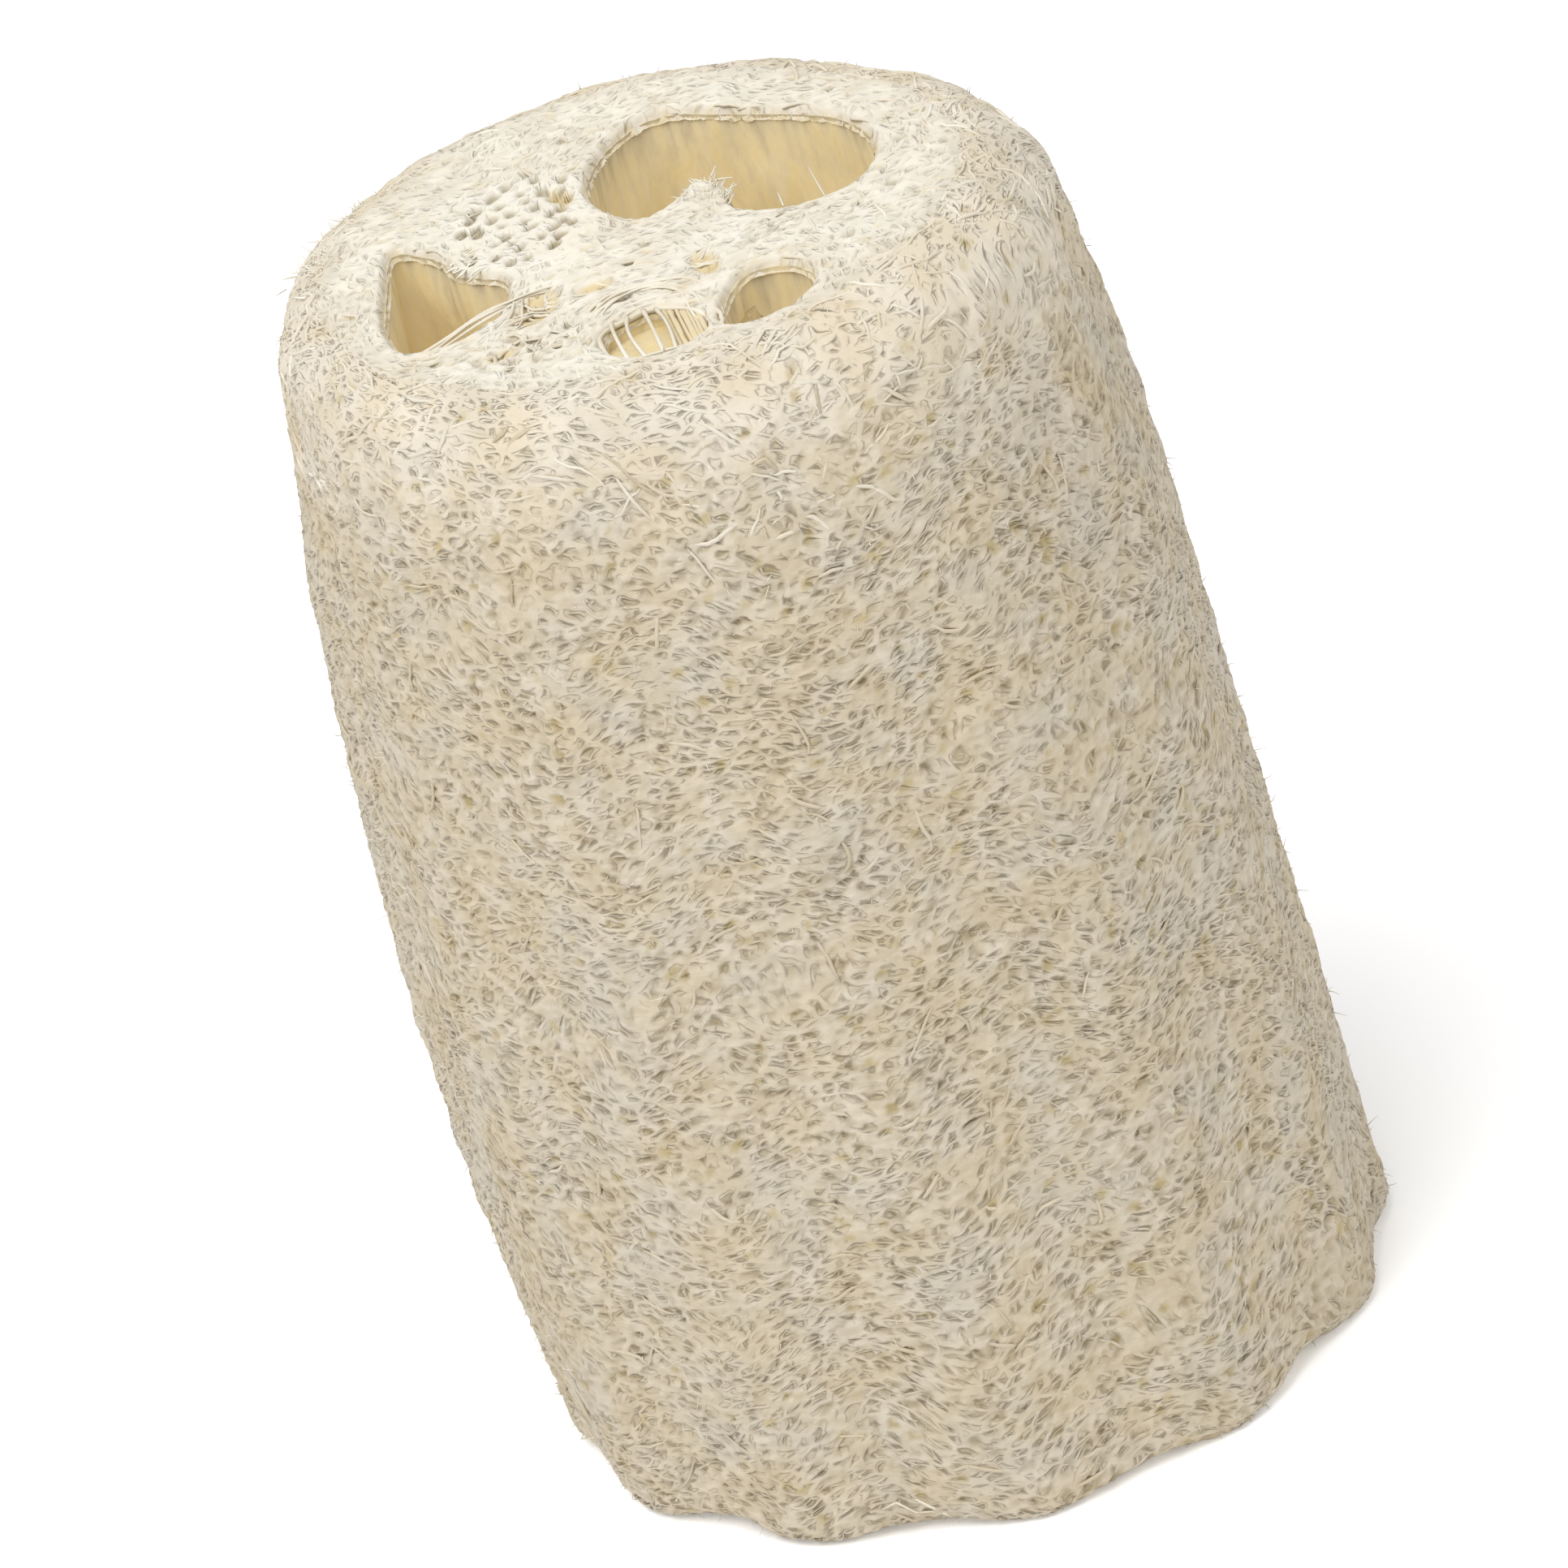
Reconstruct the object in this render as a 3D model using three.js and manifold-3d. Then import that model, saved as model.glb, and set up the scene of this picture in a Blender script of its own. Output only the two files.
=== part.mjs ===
// A natural loofah sponge: one length of a dried gourd's fibre skeleton, cut square at both
// ends and stood on its lower end. It grew as one piece: a netted outer wall, the seed
// channels that run through it, and the webs between them. Units are millimetres, +Z is up,
// and the origin is the middle of the base.
import * as THREE from "three";
import { mergeVertices } from "three/addons/utils/BufferGeometryUtils.js";
import Module from "manifold-3d";

const wasm = await Module();
wasm.setup();

// Driving dimensions of the body
const height = 150;
const sideRadii = [49.4, 50.4, 50.0, 48.5, 44.6]; // at equal steps from the base to the top
const topRim = 8; // rounding of the upper edge
const topRimLean = 1.6; // how much rounder that edge is on its +X side than on its -X side
const bottomRim = 3.4; // rounding of the lower edge
const bottomScallop = 1.6; // how much rounder that edge is between the gourd's ribs than on them
const baseLean = 2.6; // how far the wall bends towards +X at its foot
const spare = 4; // how far a solid runs on past a face that is cut later

// The gourd's lengthwise ribs, which scallop the lower edge
const ribCount = 12;
const ribHeight = { base: 0.7, top: 0.3 };
const ribSway = { round: 0.5, along: 0.3, length: 24 };

// Slow swells of the wall: waves round it, their size, where they start, and the height in
// which they turn by a radian
const swells = [
  { waves: 2, size: 0.5, start: 0.6, length: 70 },
  { waves: 3, size: 0.45, start: -1.1, length: -55 },
  { waves: 5, size: 0.3, start: 2.2, length: 31 },
];

// The raised net is drawn about five times larger than life, as ridges round hollow cells.
// Its rows lie round the wall, and drift up and down it in waves that turn as they climb.
const cellsRound = 16;
const columns = 3 * cellsRound;
const rowStep = 3.2;
const ridge = 1;
const pit = 2.4;
const uneven = { place: 0.3, depth: 0.5 }; // as shares of a step and of a ridge or pit
const drifts = [
  { waves: 2, size: 3.4, turn: 5 },
  { waves: 3, size: 2.4, turn: -9 },
  { waves: 7, size: 1.3, turn: 11 },
];

// The net of the two cut ends. Some cells of the base stay plain, for it to stand on.
const endStep = { across: 5.6, deep: 3.8 };
const endRidge = 0.5;
const endPit = 3.2;
const endUneven = { place: 0.36, depth: 0.6 };
const basePlain = 0.3;

// Seed channels. An outline is a closed smooth curve through its points, and a middle sees all
// of them. The upper outlines are as torn at the cut, and the lower ones as they grew.
const channels = {
  back: {
    middle: [8.5, 15],
    upper: [
      [-6, 13], [-2, 23], [4, 27.5], [13, 22.5], [24, 13.5], [27, 3], [23, -5.5],
      [16, -7], [10.3, -3.5], [9, 3], [6.5, 7], [3, 3], [-0.5, 1], [-4, 5],
    ],
    lower: [
      [-7, 13], [-3, 22], [4, 27.5], [13, 26], [22, 18], [25, 8], [22, -1],
      [17, -4], [12, -4.5], [8, -4], [4, -3], [0, -1], [-3, 2], [-6, 7],
    ],
    from: -spare,
    to: height + spare,
  },
  left: {
    middle: [-26, -5],
    upper: [
      [-28.5, 11], [-24.5, 6], [-22.5, -0.5], [-18, -5], [-19, -12], [-25, -17],
      [-30, -16], [-32, -9], [-31, 1],
    ],
    lower: [
      [-27, 11], [-21, 8], [-18, 1], [-16, -6], [-18, -13], [-24, -17],
      [-30, -15], [-33, -7], [-31.5, 4],
    ],
    from: -spare,
    to: height + spare,
  },
  front: {
    middle: [4, -27.5],
    upper: [
      [-8, -26], [-3, -22], [4, -21], [11, -20], [16, -24], [15, -30],
      [9, -33.5], [1, -34.5], [-6, -33],
    ],
    lower: [
      [-8, -26], [-3, -21], [4, -18], [12, -17], [18, -22], [17, -29],
      [10, -33.5], [1, -35], [-6, -33],
    ],
    from: -spare,
    to: height - 5,
  },
  frontMouth: {
    middle: [10, -26],
    upper: [
      [5.5, -26], [9, -19.8], [13.5, -20.5], [16, -25.5], [13, -31], [8, -33], [5, -31.5],
    ],
    from: height - 7,
    to: height + spare,
  },
  ribbedMouth: {
    middle: [-3, -28.5],
    upper: [
      [-8.5, -26], [-3, -22.8], [1.5, -26], [2.5, -31.5], [-2, -34.5], [-7.5, -32],
    ],
    from: height - 7,
    to: height + spare,
  },
};
const channelColumns = 26;
const channelRowStep = 17;
const channelWaves = { waves: 2, size: 0.6 };
const channelBlend = [0.6, 0.95]; // where along its height the lower outline becomes the upper

// Thick strands at the upper cut: x, y and how far above the cut face each of their points is
const strands = [
  {
    radius: 0.8,
    points: [[-33, -19, -0.6], [-26, -16.5, 0.6], [-19, -13, 0.9], [-11, -10, -0.8]],
  },
  {
    radius: 0.9,
    points: [
      [-8, 1, -0.8], [-2, -2, 0.5], [6, -5, 0.7], [14, -9.5, 0.6], [24, -8.5, 0.4], [31, -2, -0.8],
    ],
  },
  {
    radius: 0.9,
    points: [[4, -34.5, -0.9], [3.2, -28, 0.5], [6, -20.5, 0.7], [13, -17.6, 0.5], [20, -23, -0.8]],
  },
  { radius: 0.8, points: [[-23, 12, -0.8], [-15, 3.5, 0.5], [-8, -5, 0.6], [-4, -15, -0.8]] },
  { radius: 0.7, points: [[-17, -2, -0.6], [-9, -8, 0.7], [-2, -13, 0.7], [6, -15, -0.6]] },
  { radius: 0.7, points: [[-8, 15, -0.8], [-13, 9, 0.6], [-17, 2, 0.4], [-15, -9, -0.8]] },
];
const strandSides = 4;
const strandStep = 4;

// The ribs that cross the nearly closed mouth of the front channel, arched over it
const mouthRibs = { count: 4, first: -6.4, step: 2.2, slant: 0.8, radius: 0.6 };
const mouthRibReach = { front: -36, back: -21.2, under: 2.4, arch: 1.6 };

// Small blind holes in the loosest net of the upper cut: x, y, radius
const pores = [
  [-18, 5, 1.5], [-14.5, 8.5, 1.6], [-10.8, 11.8, 1.3], [-14.2, 3.2, 1.7], [-10.4, 6.4, 1.9],
  [-7.4, 9.2, 1.2], [-10.2, 0.6, 1.5], [-6.2, 3, 1.3], [4.7, -14.8, 2], [14, -12.2, 1.2],
  [-17.5, -22, 1.7], [-12.5, -25, 1.4], [-22.5, -23.5, 1.3],
];
const pore = { depth: 5, shoulder: 1, sides: 5 };

// Corners closer than this are one corner
const weld = 1e-4;

const fullTurn = 2 * Math.PI;
const quarterTurn = Math.PI / 2;
const { clamp, lerp, smoothstep } = THREE.MathUtils;

// Repeatable draw from -1 to 1
function drawFrom(seed) {
  let state = seed;
  return () => {
    state = (state + 0x6d2b79f5) | 0;
    let t = Math.imul(state ^ (state >>> 15), 1 | state);
    t = (t + Math.imul(t ^ (t >>> 7), 61 | t)) ^ t;
    return ((t ^ (t >>> 14)) >>> 0) / 2 ** 31 - 1;
  };
}

// Closed solid from corner positions and triangles, turned to face outwards
function solidFrom(positions, triangles) {
  const make = (faces) =>
    new wasm.Manifold(
      new wasm.Mesh({
        numProp: 3,
        vertProperties: new Float32Array(positions),
        triVerts: new Uint32Array(faces),
      }),
    );
  const made = make(triangles);
  if (made.volume() > 0) return made;
  const turned = [];
  for (let i = 0; i < triangles.length; i += 3) {
    turned.push(triangles[i], triangles[i + 2], triangles[i + 1]);
  }
  return make(turned);
}

// The two triangles of one step of a lattice, whose odd rows may be shifted by half a column
function stepTriangles(at, row, column, shifted) {
  const [a, b] = [at(row, column), at(row, column + 1)];
  const [d, e] = [at(row + 1, column), at(row + 1, column + 1)];
  return shifted ? [[a, b, e], [a, e, d]] : [[a, b, d], [b, e, d]];
}

// Solid skinned over closed rings of equal length, with a fan to a middle point at each end
function skinnedSolid(rings, firstMiddle, lastMiddle, staggered) {
  const n = rings[0].length;
  const positions = [...rings.flat(2), ...firstMiddle, ...lastMiddle];
  const at = (row, column) => row * n + (column % n);
  const triangles = [];
  for (let row = 0; row + 1 < rings.length; row++) {
    for (let c = 0; c < n; c++) {
      triangles.push(...stepTriangles(at, row, c, staggered && row % 2 === 1).flat());
    }
  }
  const last = rings.length - 1;
  for (let c = 0; c < n; c++) {
    triangles.push(at(0, c + 1), at(0, c), rings.length * n);
    triangles.push(at(last, c), at(last, c + 1), rings.length * n + 1);
  }
  return solidFrom(positions, triangles);
}

// In a lattice of triangles with every odd row shifted, one node in three is a cell's middle,
// and the six round it are corners of the net
function isCell(row, column) {
  const slant = column - Math.floor(row / 2) - row;
  return ((slant % 3) + 3) % 3 === 0;
}

// Where round a rib a point of the wall lies: a whole turn from one rib to the next
function ribPhase(angle, z) {
  const sway = ribSway.round * Math.sin(2 * angle) + ribSway.along * Math.sin(z / ribSway.length);
  return ribCount * angle + sway;
}

// Radius of the outer wall before its ends are rounded: a smooth curve through sideRadii,
// with the swells and the ribs on it
const sideCurve = new THREE.SplineCurve(
  sideRadii.map((radius, i) => new THREE.Vector2(i / (sideRadii.length - 1), radius)),
);
function wallRadius(angle, z) {
  const share = clamp(z / height, 0, 1);
  const rib = lerp(ribHeight.base, ribHeight.top, share) * Math.cos(ribPhase(angle, z));
  return swells.reduce(
    (radius, { waves, size, start, length }) =>
      radius + size * Math.sin(waves * angle + start + z / length),
    sideCurve.getPoint(share).y + rib,
  );
}

// How far the wall's middle lies towards +X at a height: a parabola, over the lower half
function lean(z) {
  return baseLean * (1 - clamp((2 * z) / height, 0, 1)) ** 2;
}

// How far the net's rows wander up and down the wall, nothing at either end
function drift(angle, along) {
  const hold = Math.sqrt(Math.sin(Math.PI * clamp(along, 0, 1)));
  return drifts.reduce(
    (sum, { waves, size, turn }) => sum + hold * size * Math.sin(waves * angle + turn * along),
    0,
  );
}

// The wall's profile runs up from under the base, round the lower edge, up the side, and round
// the upper edge to the cut
const profile = {
  under: spare,
  foot: quarterTurn * bottomRim,
  side: height - topRim - bottomRim,
  rim: quarterTurn * topRim,
};
const profileLength = profile.under + profile.foot + profile.side + profile.rim;

// A place on that profile: its radius and height, and which way is out of the wall there
function profilePoint(s, angle) {
  const rim = topRim + topRimLean * Math.cos(angle);
  const foot = bottomRim - bottomScallop * Math.cos(ribPhase(angle, 0));
  const sideStart = profile.under + profile.foot;
  if (s < sideStart) {
    const bend = quarterTurn * clamp((s - profile.under) / profile.foot, 0, 1);
    const z = s < profile.under ? s - profile.under : foot * (1 - Math.cos(bend));
    return { r: wallRadius(angle, 0) - foot * (1 - Math.sin(bend)), z, out: 1, up: 0 };
  }
  if (s < sideStart + profile.side) {
    const z = lerp(foot, height - rim, (s - sideStart) / profile.side);
    return { r: wallRadius(angle, z), z, out: 1, up: 0 };
  }
  const bend = quarterTurn * clamp((s - sideStart - profile.side) / profile.rim, 0, 1);
  const z = height - rim * (1 - Math.sin(bend));
  const r = wallRadius(angle, z) - rim * (1 - Math.cos(bend));
  return { r, z, out: Math.cos(bend), up: Math.sin(bend) };
}

// The outer wall as a solid core, its face raised into the net
function outerWall() {
  const draw = drawFrom(11);
  const rows = Math.round(profileLength / rowStep);
  const rings = [];
  for (let row = 0; row <= rows; row++) {
    const inside = row > 0 && row < rows;
    const shake = inside ? uneven.place / 2 : 0;
    const ring = [];
    for (let column = 0; column < columns; column++) {
      const angle = ((column + (row % 2) / 2 + shake * draw()) / columns) * fullTurn;
      const wander = inside ? drift(angle, row / rows) + shake * draw() * rowStep : 0;
      const place = profilePoint((row / rows) * profileLength + wander, angle);
      const size = 1 + (uneven.depth / 2) * draw();
      const raise = !inside ? 0 : isCell(row, column) ? -pit * size : ridge * size;
      const r = place.r + raise * place.out;
      const z = place.z + raise * place.up;
      ring.push([r * Math.cos(angle) + lean(z), r * Math.sin(angle), z]);
    }
    rings.push(ring);
  }
  const pastCut = rings[rows].map(([x, y]) => [x, y, height + spare]);
  return skinnedSolid([...rings, pastCut], [0, 0, -spare], [0, 0, height + spare], true);
}

// A slab whose lower and upper faces are the two cut ends, each pitted into a finer net
function cutEnds() {
  const draw = drawFrom(23);
  const half = Math.max(...sideRadii) + 2 * spare;
  const across = Math.ceil((2 * half) / endStep.across);
  const deep = Math.ceil((2 * half) / endStep.deep);
  const [base, top] = [[], []];
  for (let row = 0; row <= deep; row++) {
    for (let column = 0; column <= across; column++) {
      const x = (column + (row % 2) / 2) * endStep.across - half - endStep.across / 4;
      const y = row * endStep.deep - half;
      const edge = row === 0 || row === deep || column === 0 || column === across;
      const shake = edge ? 0 : endUneven.place / 2;
      const place = () => [x + shake * draw() * endStep.across, y + shake * draw() * endStep.deep];
      const sunk = () => (isCell(row, column) ? endPit * (1 + (endUneven.depth / 2) * draw()) : 0);
      const plain = Math.abs(draw()) < basePlain;
      base.push([...place(), plain ? 0 : sunk()]);
      top.push([...place(), height + endRidge * draw() - sunk()]);
    }
  }
  const wide = across + 1;
  const lift = base.length; // from a base corner's number to that of the top corner over it
  const at = (row, column) => row * wide + column;
  const triangles = [];
  for (let row = 0; row < deep; row++) {
    for (let c = 0; c < across; c++) {
      for (const [i, j, k] of stepTriangles(at, row, c, row % 2 === 1)) {
        triangles.push(i, k, j, i + lift, j + lift, k + lift);
      }
    }
  }
  const wall = (i, j) => triangles.push(i, j, j + lift, i, j + lift, i + lift);
  for (let c = 0; c < across; c++) {
    wall(at(0, c), at(0, c + 1));
    wall(at(deep, c + 1), at(deep, c));
  }
  for (let row = 0; row < deep; row++) {
    wall(at(row, across), at(row + 1, across));
    wall(at(row + 1, 0), at(row, 0));
  }
  return solidFrom([...base, ...top].flat(), triangles);
}

// Points spaced along a closed smooth outline
function outline(points) {
  const corners = points.map(([x, y]) => new THREE.Vector3(x, y, 0));
  const curve = new THREE.CatmullRomCurve3(corners, true, "centripetal");
  return curve.getSpacedPoints(channelColumns).slice(0, channelColumns);
}

// A seed channel, to be cut away: it passes from its lower to its upper outline, and its wall
// wanders a little below that
function channel({ middle, upper, lower = upper, from, to }, seed) {
  const draw = drawFrom(seed);
  const [low, high] = [outline(lower), outline(upper)];
  const rows = Math.max(2, Math.round((to - from) / channelRowStep));
  const axis = new THREE.Vector3(...middle, 0);
  const rings = [];
  for (let row = 0; row <= rows; row++) {
    const mix = smoothstep(row / rows, ...channelBlend);
    const start = Math.PI * draw();
    rings.push(
      low.map((point, i) => {
        const p = point.clone().lerp(high[i], mix);
        const wave = Math.sin((channelWaves.waves * fullTurn * i) / channelColumns + start);
        const outward = p.clone().sub(axis).normalize();
        p.addScaledVector(outward, channelWaves.size * wave * (1 - mix));
        return [p.x, p.y, lerp(from, to, row / rows)];
      }),
    );
  }
  return skinnedSolid(rings, [...middle, from], [...middle, to], false);
}

// A strand: a thin closed tube along a smooth line through its points
function strand(points, radius) {
  const curve = new THREE.CatmullRomCurve3(points.map((p) => new THREE.Vector3(...p)));
  const steps = Math.max(3, Math.round(curve.getLength() / strandStep));
  const frames = curve.computeFrenetFrames(steps, false);
  const rings = [];
  for (let i = 0; i <= steps; i++) {
    const centre = curve.getPointAt(i / steps);
    const ring = [];
    for (let side = 0; side < strandSides; side++) {
      const angle = (side / strandSides) * fullTurn;
      const across = frames.normals[i].clone().multiplyScalar(radius * Math.cos(angle));
      across.addScaledVector(frames.binormals[i], radius * Math.sin(angle));
      ring.push(across.add(centre).toArray());
    }
    rings.push(ring);
  }
  return skinnedSolid(rings, points[0], points[points.length - 1], false);
}

// The strands that lie on the upper cut
function cutStrands() {
  return strands.map(({ radius, points }) =>
    strand(points.map(([x, y, rise]) => [x, y, height + rise]), radius),
  );
}

// One of the ribs over the nearly closed mouth
function mouthRib(index) {
  const { first, step, slant, radius } = mouthRibs;
  const { front, back, under, arch } = mouthRibReach;
  const x = first + index * step;
  const low = height - under;
  const points = [
    [x + slant / 2, front, low],
    [x, (front + back) / 2, low + arch],
    [x - slant / 2, back, low],
  ];
  return strand(points, radius);
}

// A small blind hole, to be cut away: a spike with its point down
function poreSpike([x, y, radius]) {
  const ring = (rise) =>
    Array.from({ length: pore.sides }, (_, i) => {
      const angle = ((i + x) / pore.sides) * fullTurn;
      return [x + radius * Math.cos(angle), y + radius * Math.sin(angle), height + rise];
    });
  const rings = [ring(-pore.shoulder), ring(spare)];
  return skinnedSolid(rings, [x, y, height - pore.depth], [x, y, height + spare], false);
}

// The largest body of a solid: loose scraps that the cuts leave are dropped
function largestBody(solid) {
  return solid.decompose().reduce((a, b) => (b.volume() > a.volume() ? b : a));
}

// Back to a three.js geometry, moved so that the base's middle is the origin
function geometryOf(solid) {
  const mesh = solid.getMesh();
  const corners = new Float32Array(mesh.numVert * 3);
  for (let i = 0; i < mesh.numVert; i++) {
    const start = i * mesh.numProp;
    corners.set(mesh.vertProperties.subarray(start, start + 3), i * 3);
  }
  const loose = new THREE.BufferGeometry();
  loose.setAttribute("position", new THREE.BufferAttribute(corners, 3));
  loose.setIndex(new THREE.BufferAttribute(mesh.triVerts, 1));
  const geometry = mergeVertices(loose, weld);
  geometry.computeBoundingBox();
  const { min, max } = geometry.boundingBox;
  geometry.translate(-(min.x + max.x) / 2, -(min.y + max.y) / 2, -min.z);
  return geometry;
}

// The whole sponge: the wall between its cut ends, with channels and small holes cut away and
// the ribs and strands joined on
function loofahSponge() {
  let solid = outerWall().intersect(cutEnds());
  Object.values(channels).forEach((shape, i) => {
    solid = solid.subtract(channel(shape, 31 + i));
  });
  for (const place of pores) solid = solid.subtract(poreSpike(place));
  for (const piece of cutStrands()) solid = solid.add(piece);
  for (let i = 0; i < mouthRibs.count; i++) solid = solid.add(mouthRib(i));
  const mesh = new THREE.Mesh(
    geometryOf(largestBody(solid)),
    new THREE.MeshStandardMaterial({ color: 0xddd0b0, roughness: 0.9, metalness: 0 }),
  );
  mesh.name = "loofah_sponge";
  return mesh;
}

const part = new THREE.Group();
part.add(loofahSponge());
export default part;
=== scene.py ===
import bpy
import math
import numpy as np
from mathutils import Matrix, Vector


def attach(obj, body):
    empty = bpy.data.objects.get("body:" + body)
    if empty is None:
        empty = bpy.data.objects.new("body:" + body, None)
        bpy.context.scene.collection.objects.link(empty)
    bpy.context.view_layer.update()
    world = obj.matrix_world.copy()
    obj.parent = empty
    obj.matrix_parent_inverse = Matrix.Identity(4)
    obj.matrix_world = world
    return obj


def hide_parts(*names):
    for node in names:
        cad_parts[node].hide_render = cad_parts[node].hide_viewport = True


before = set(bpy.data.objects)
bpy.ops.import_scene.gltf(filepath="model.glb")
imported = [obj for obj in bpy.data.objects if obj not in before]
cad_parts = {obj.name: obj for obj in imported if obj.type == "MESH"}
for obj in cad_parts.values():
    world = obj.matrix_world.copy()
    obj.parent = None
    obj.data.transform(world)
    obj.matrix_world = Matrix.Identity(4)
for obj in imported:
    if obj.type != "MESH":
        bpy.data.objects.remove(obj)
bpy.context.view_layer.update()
print("stage: packed part loaded")

# Shapes are worked out in millimetres round the gourd's own axis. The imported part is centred
# on its box, so every point moves by this much before it becomes metres.
metre = 0.001
centring = np.array([-0.223, 0.168, 0.0])
fullTurn = 2 * math.pi

# The outer wall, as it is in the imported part
wall = {
    "height": 150.0,
    "radii": [49.4, 50.4, 50.0, 48.5, 44.6],
    "topRim": 8.0,
    "topRimLean": 1.6,
    "bottomRim": 3.4,
    "bottomScallop": 1.6,
    "baseLean": 2.6,
    "ribCount": 12,
    "ribBase": 0.7,
    "ribTop": 0.3,
    "ribSway": (0.5, 0.3, 24.0),
    "swells": [(2, 0.5, 0.6, 70.0), (3, 0.45, -1.1, -55.0), (5, 0.3, 2.2, 31.0)],
}
footLength = math.pi / 2 * wall["bottomRim"]
sideLength = wall["height"] - wall["topRim"] - wall["bottomRim"]
rimLength = math.pi / 2 * wall["topRim"]
wallLength = footLength + sideLength + rimLength

# Outlines of the seed channels at the upper cut and at the base
upperMouths = {
    "back": [
        (-6, 13), (-2, 23), (4, 27.5), (13, 22.5), (24, 13.5), (27, 3), (23, -5.5),
        (16, -7), (10.3, -3.5), (9, 3), (6.5, 7), (3, 3), (-0.5, 1), (-4, 5),
    ],
    "left": [
        (-29, 11.2), (-24.5, 6.5), (-22.6, 1), (-17.8, -3.6), (-17.6, -7.7), (-18.8, -12),
        (-25, -17), (-30, -16.3), (-32, -9), (-31, 1),
    ],
    "front": [(5.5, -26), (9, -19.8), (13.5, -20.5), (16, -25.5), (13, -31), (8, -33), (5, -31.5)],
    "ribbed": [(-8.5, -26), (-3, -22.8), (1.5, -26), (2.5, -31.5), (-2, -34.5), (-7.5, -32)],
}
lowerMouths = {
    "back": [
        (-7, 13), (-3, 22), (4, 27.5), (13, 26), (22, 18), (25, 8), (22, -1),
        (17, -4), (12, -4.5), (8, -4), (4, -3), (0, -1), (-3, 2), (-6, 7),
    ],
    "left": [
        (-27, 11), (-21, 8), (-18, 1), (-16, -6), (-18, -13), (-24, -17),
        (-30, -15), (-33, -7), (-31.5, 4),
    ],
    "front": [
        (-8, -26), (-3, -21), (4, -18), (12, -17), (18, -22), (17, -29),
        (10, -33.5), (1, -35), (-6, -33),
    ],
}
frontUpper = [
    (-8, -26), (-3, -22), (4, -21), (11, -20), (16, -24), (15, -30),
    (9, -33.5), (1, -34.5), (-6, -33),
]


def smoothStep(x, low, high):
    # 0 up to low, 1 from high on, and 3t^2 - 2t^3 between them
    t = np.clip((x - low) / (high - low), 0, 1)
    return t * t * (3 - 2 * t)


def waveNoise(places, length, seed, waves=14):
    # Smooth noise of spread 1: a sum of sine waves of about this length in random directions
    draw = np.random.default_rng(seed)
    ways = draw.normal(size=(waves, 3))
    ways /= np.linalg.norm(ways, axis=1, keepdims=True)
    ways *= fullTurn / length * draw.uniform(0.6, 1.4, (waves, 1))
    return np.sin(places @ ways.T + draw.uniform(0, fullTurn, waves)).sum(-1) * math.sqrt(2 / waves)


def unit(vectors):
    # Each vector divided by its length
    return vectors / np.maximum(np.linalg.norm(vectors, axis=-1, keepdims=True), 1e-9)


def ribPhase(angle, z):
    # A whole turn from one lengthwise rib to the next, swaying round and along the wall
    around, along, length = wall["ribSway"]
    return wall["ribCount"] * angle + around * np.sin(2 * angle) + along * np.sin(z / length)


def wallRadius(angle, z):
    # A smooth curve through the wall's radii, plus the ribs and the slow swells
    share = np.clip(z / wall["height"], 0, 1)
    radii = np.array([wall["radii"][0], *wall["radii"], wall["radii"][-1]])
    place = share * (len(wall["radii"]) - 1)
    step = np.minimum(place.astype(int), len(wall["radii"]) - 2)
    t = place - step
    a, b, c, d = (radii[step + i] for i in range(4))
    v, w = (c - a) / 2, (d - b) / 2
    radius = (2 * b - 2 * c + v + w) * t**3 + (3 * c - 3 * b - 2 * v - w) * t**2 + v * t + b
    rib = wall["ribBase"] + share * (wall["ribTop"] - wall["ribBase"])
    radius = radius + rib * np.cos(ribPhase(angle, z))
    for waves, size, start, length in wall["swells"]:
        radius = radius + size * np.sin(waves * angle + start + z / length)
    return radius


def wallPlace(angle, level, lift=0.0):
    # Points and outward directions on the wall. Level runs from the foot's inner edge up the
    # side and over the rim, and on across either cut face where it is below 0 or past the end.
    rim = wall["topRim"] + wall["topRimLean"] * np.cos(angle)
    foot = wall["bottomRim"] - wall["bottomScallop"] * np.cos(ribPhase(angle, 0))
    footBend = math.pi / 2 * np.clip(level / footLength, 0, 1)
    share = np.clip((level - footLength) / sideLength, 0, 1)
    rimBend = math.pi / 2 * np.clip((level - footLength - sideLength) / rimLength, 0, 1)
    z = foot * (1 - np.cos(footBend)) + share * (wall["height"] - rim - foot) + rim * np.sin(rimBend)
    r = wallRadius(angle, z) - foot * (1 - np.sin(footBend)) - rim * (1 - np.cos(rimBend))
    r = r - np.maximum(level - wallLength, 0) - np.maximum(-level, 0)
    out = np.sin(footBend) * np.cos(rimBend)
    up = np.sin(rimBend) - np.cos(footBend)
    lean = wall["baseLean"] * (1 - np.clip(2 * z / wall["height"], 0, 1)) ** 2
    outward = np.stack([out * np.cos(angle), out * np.sin(angle), up], -1)
    r = r + lift * out
    places = np.stack([r * np.cos(angle) + lean, r * np.sin(angle), z + lift * up], -1)
    return places, outward


# Fine steps between two corners of a smooth curve
curveSteps = {"closed": 24, "open": 16}


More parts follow.
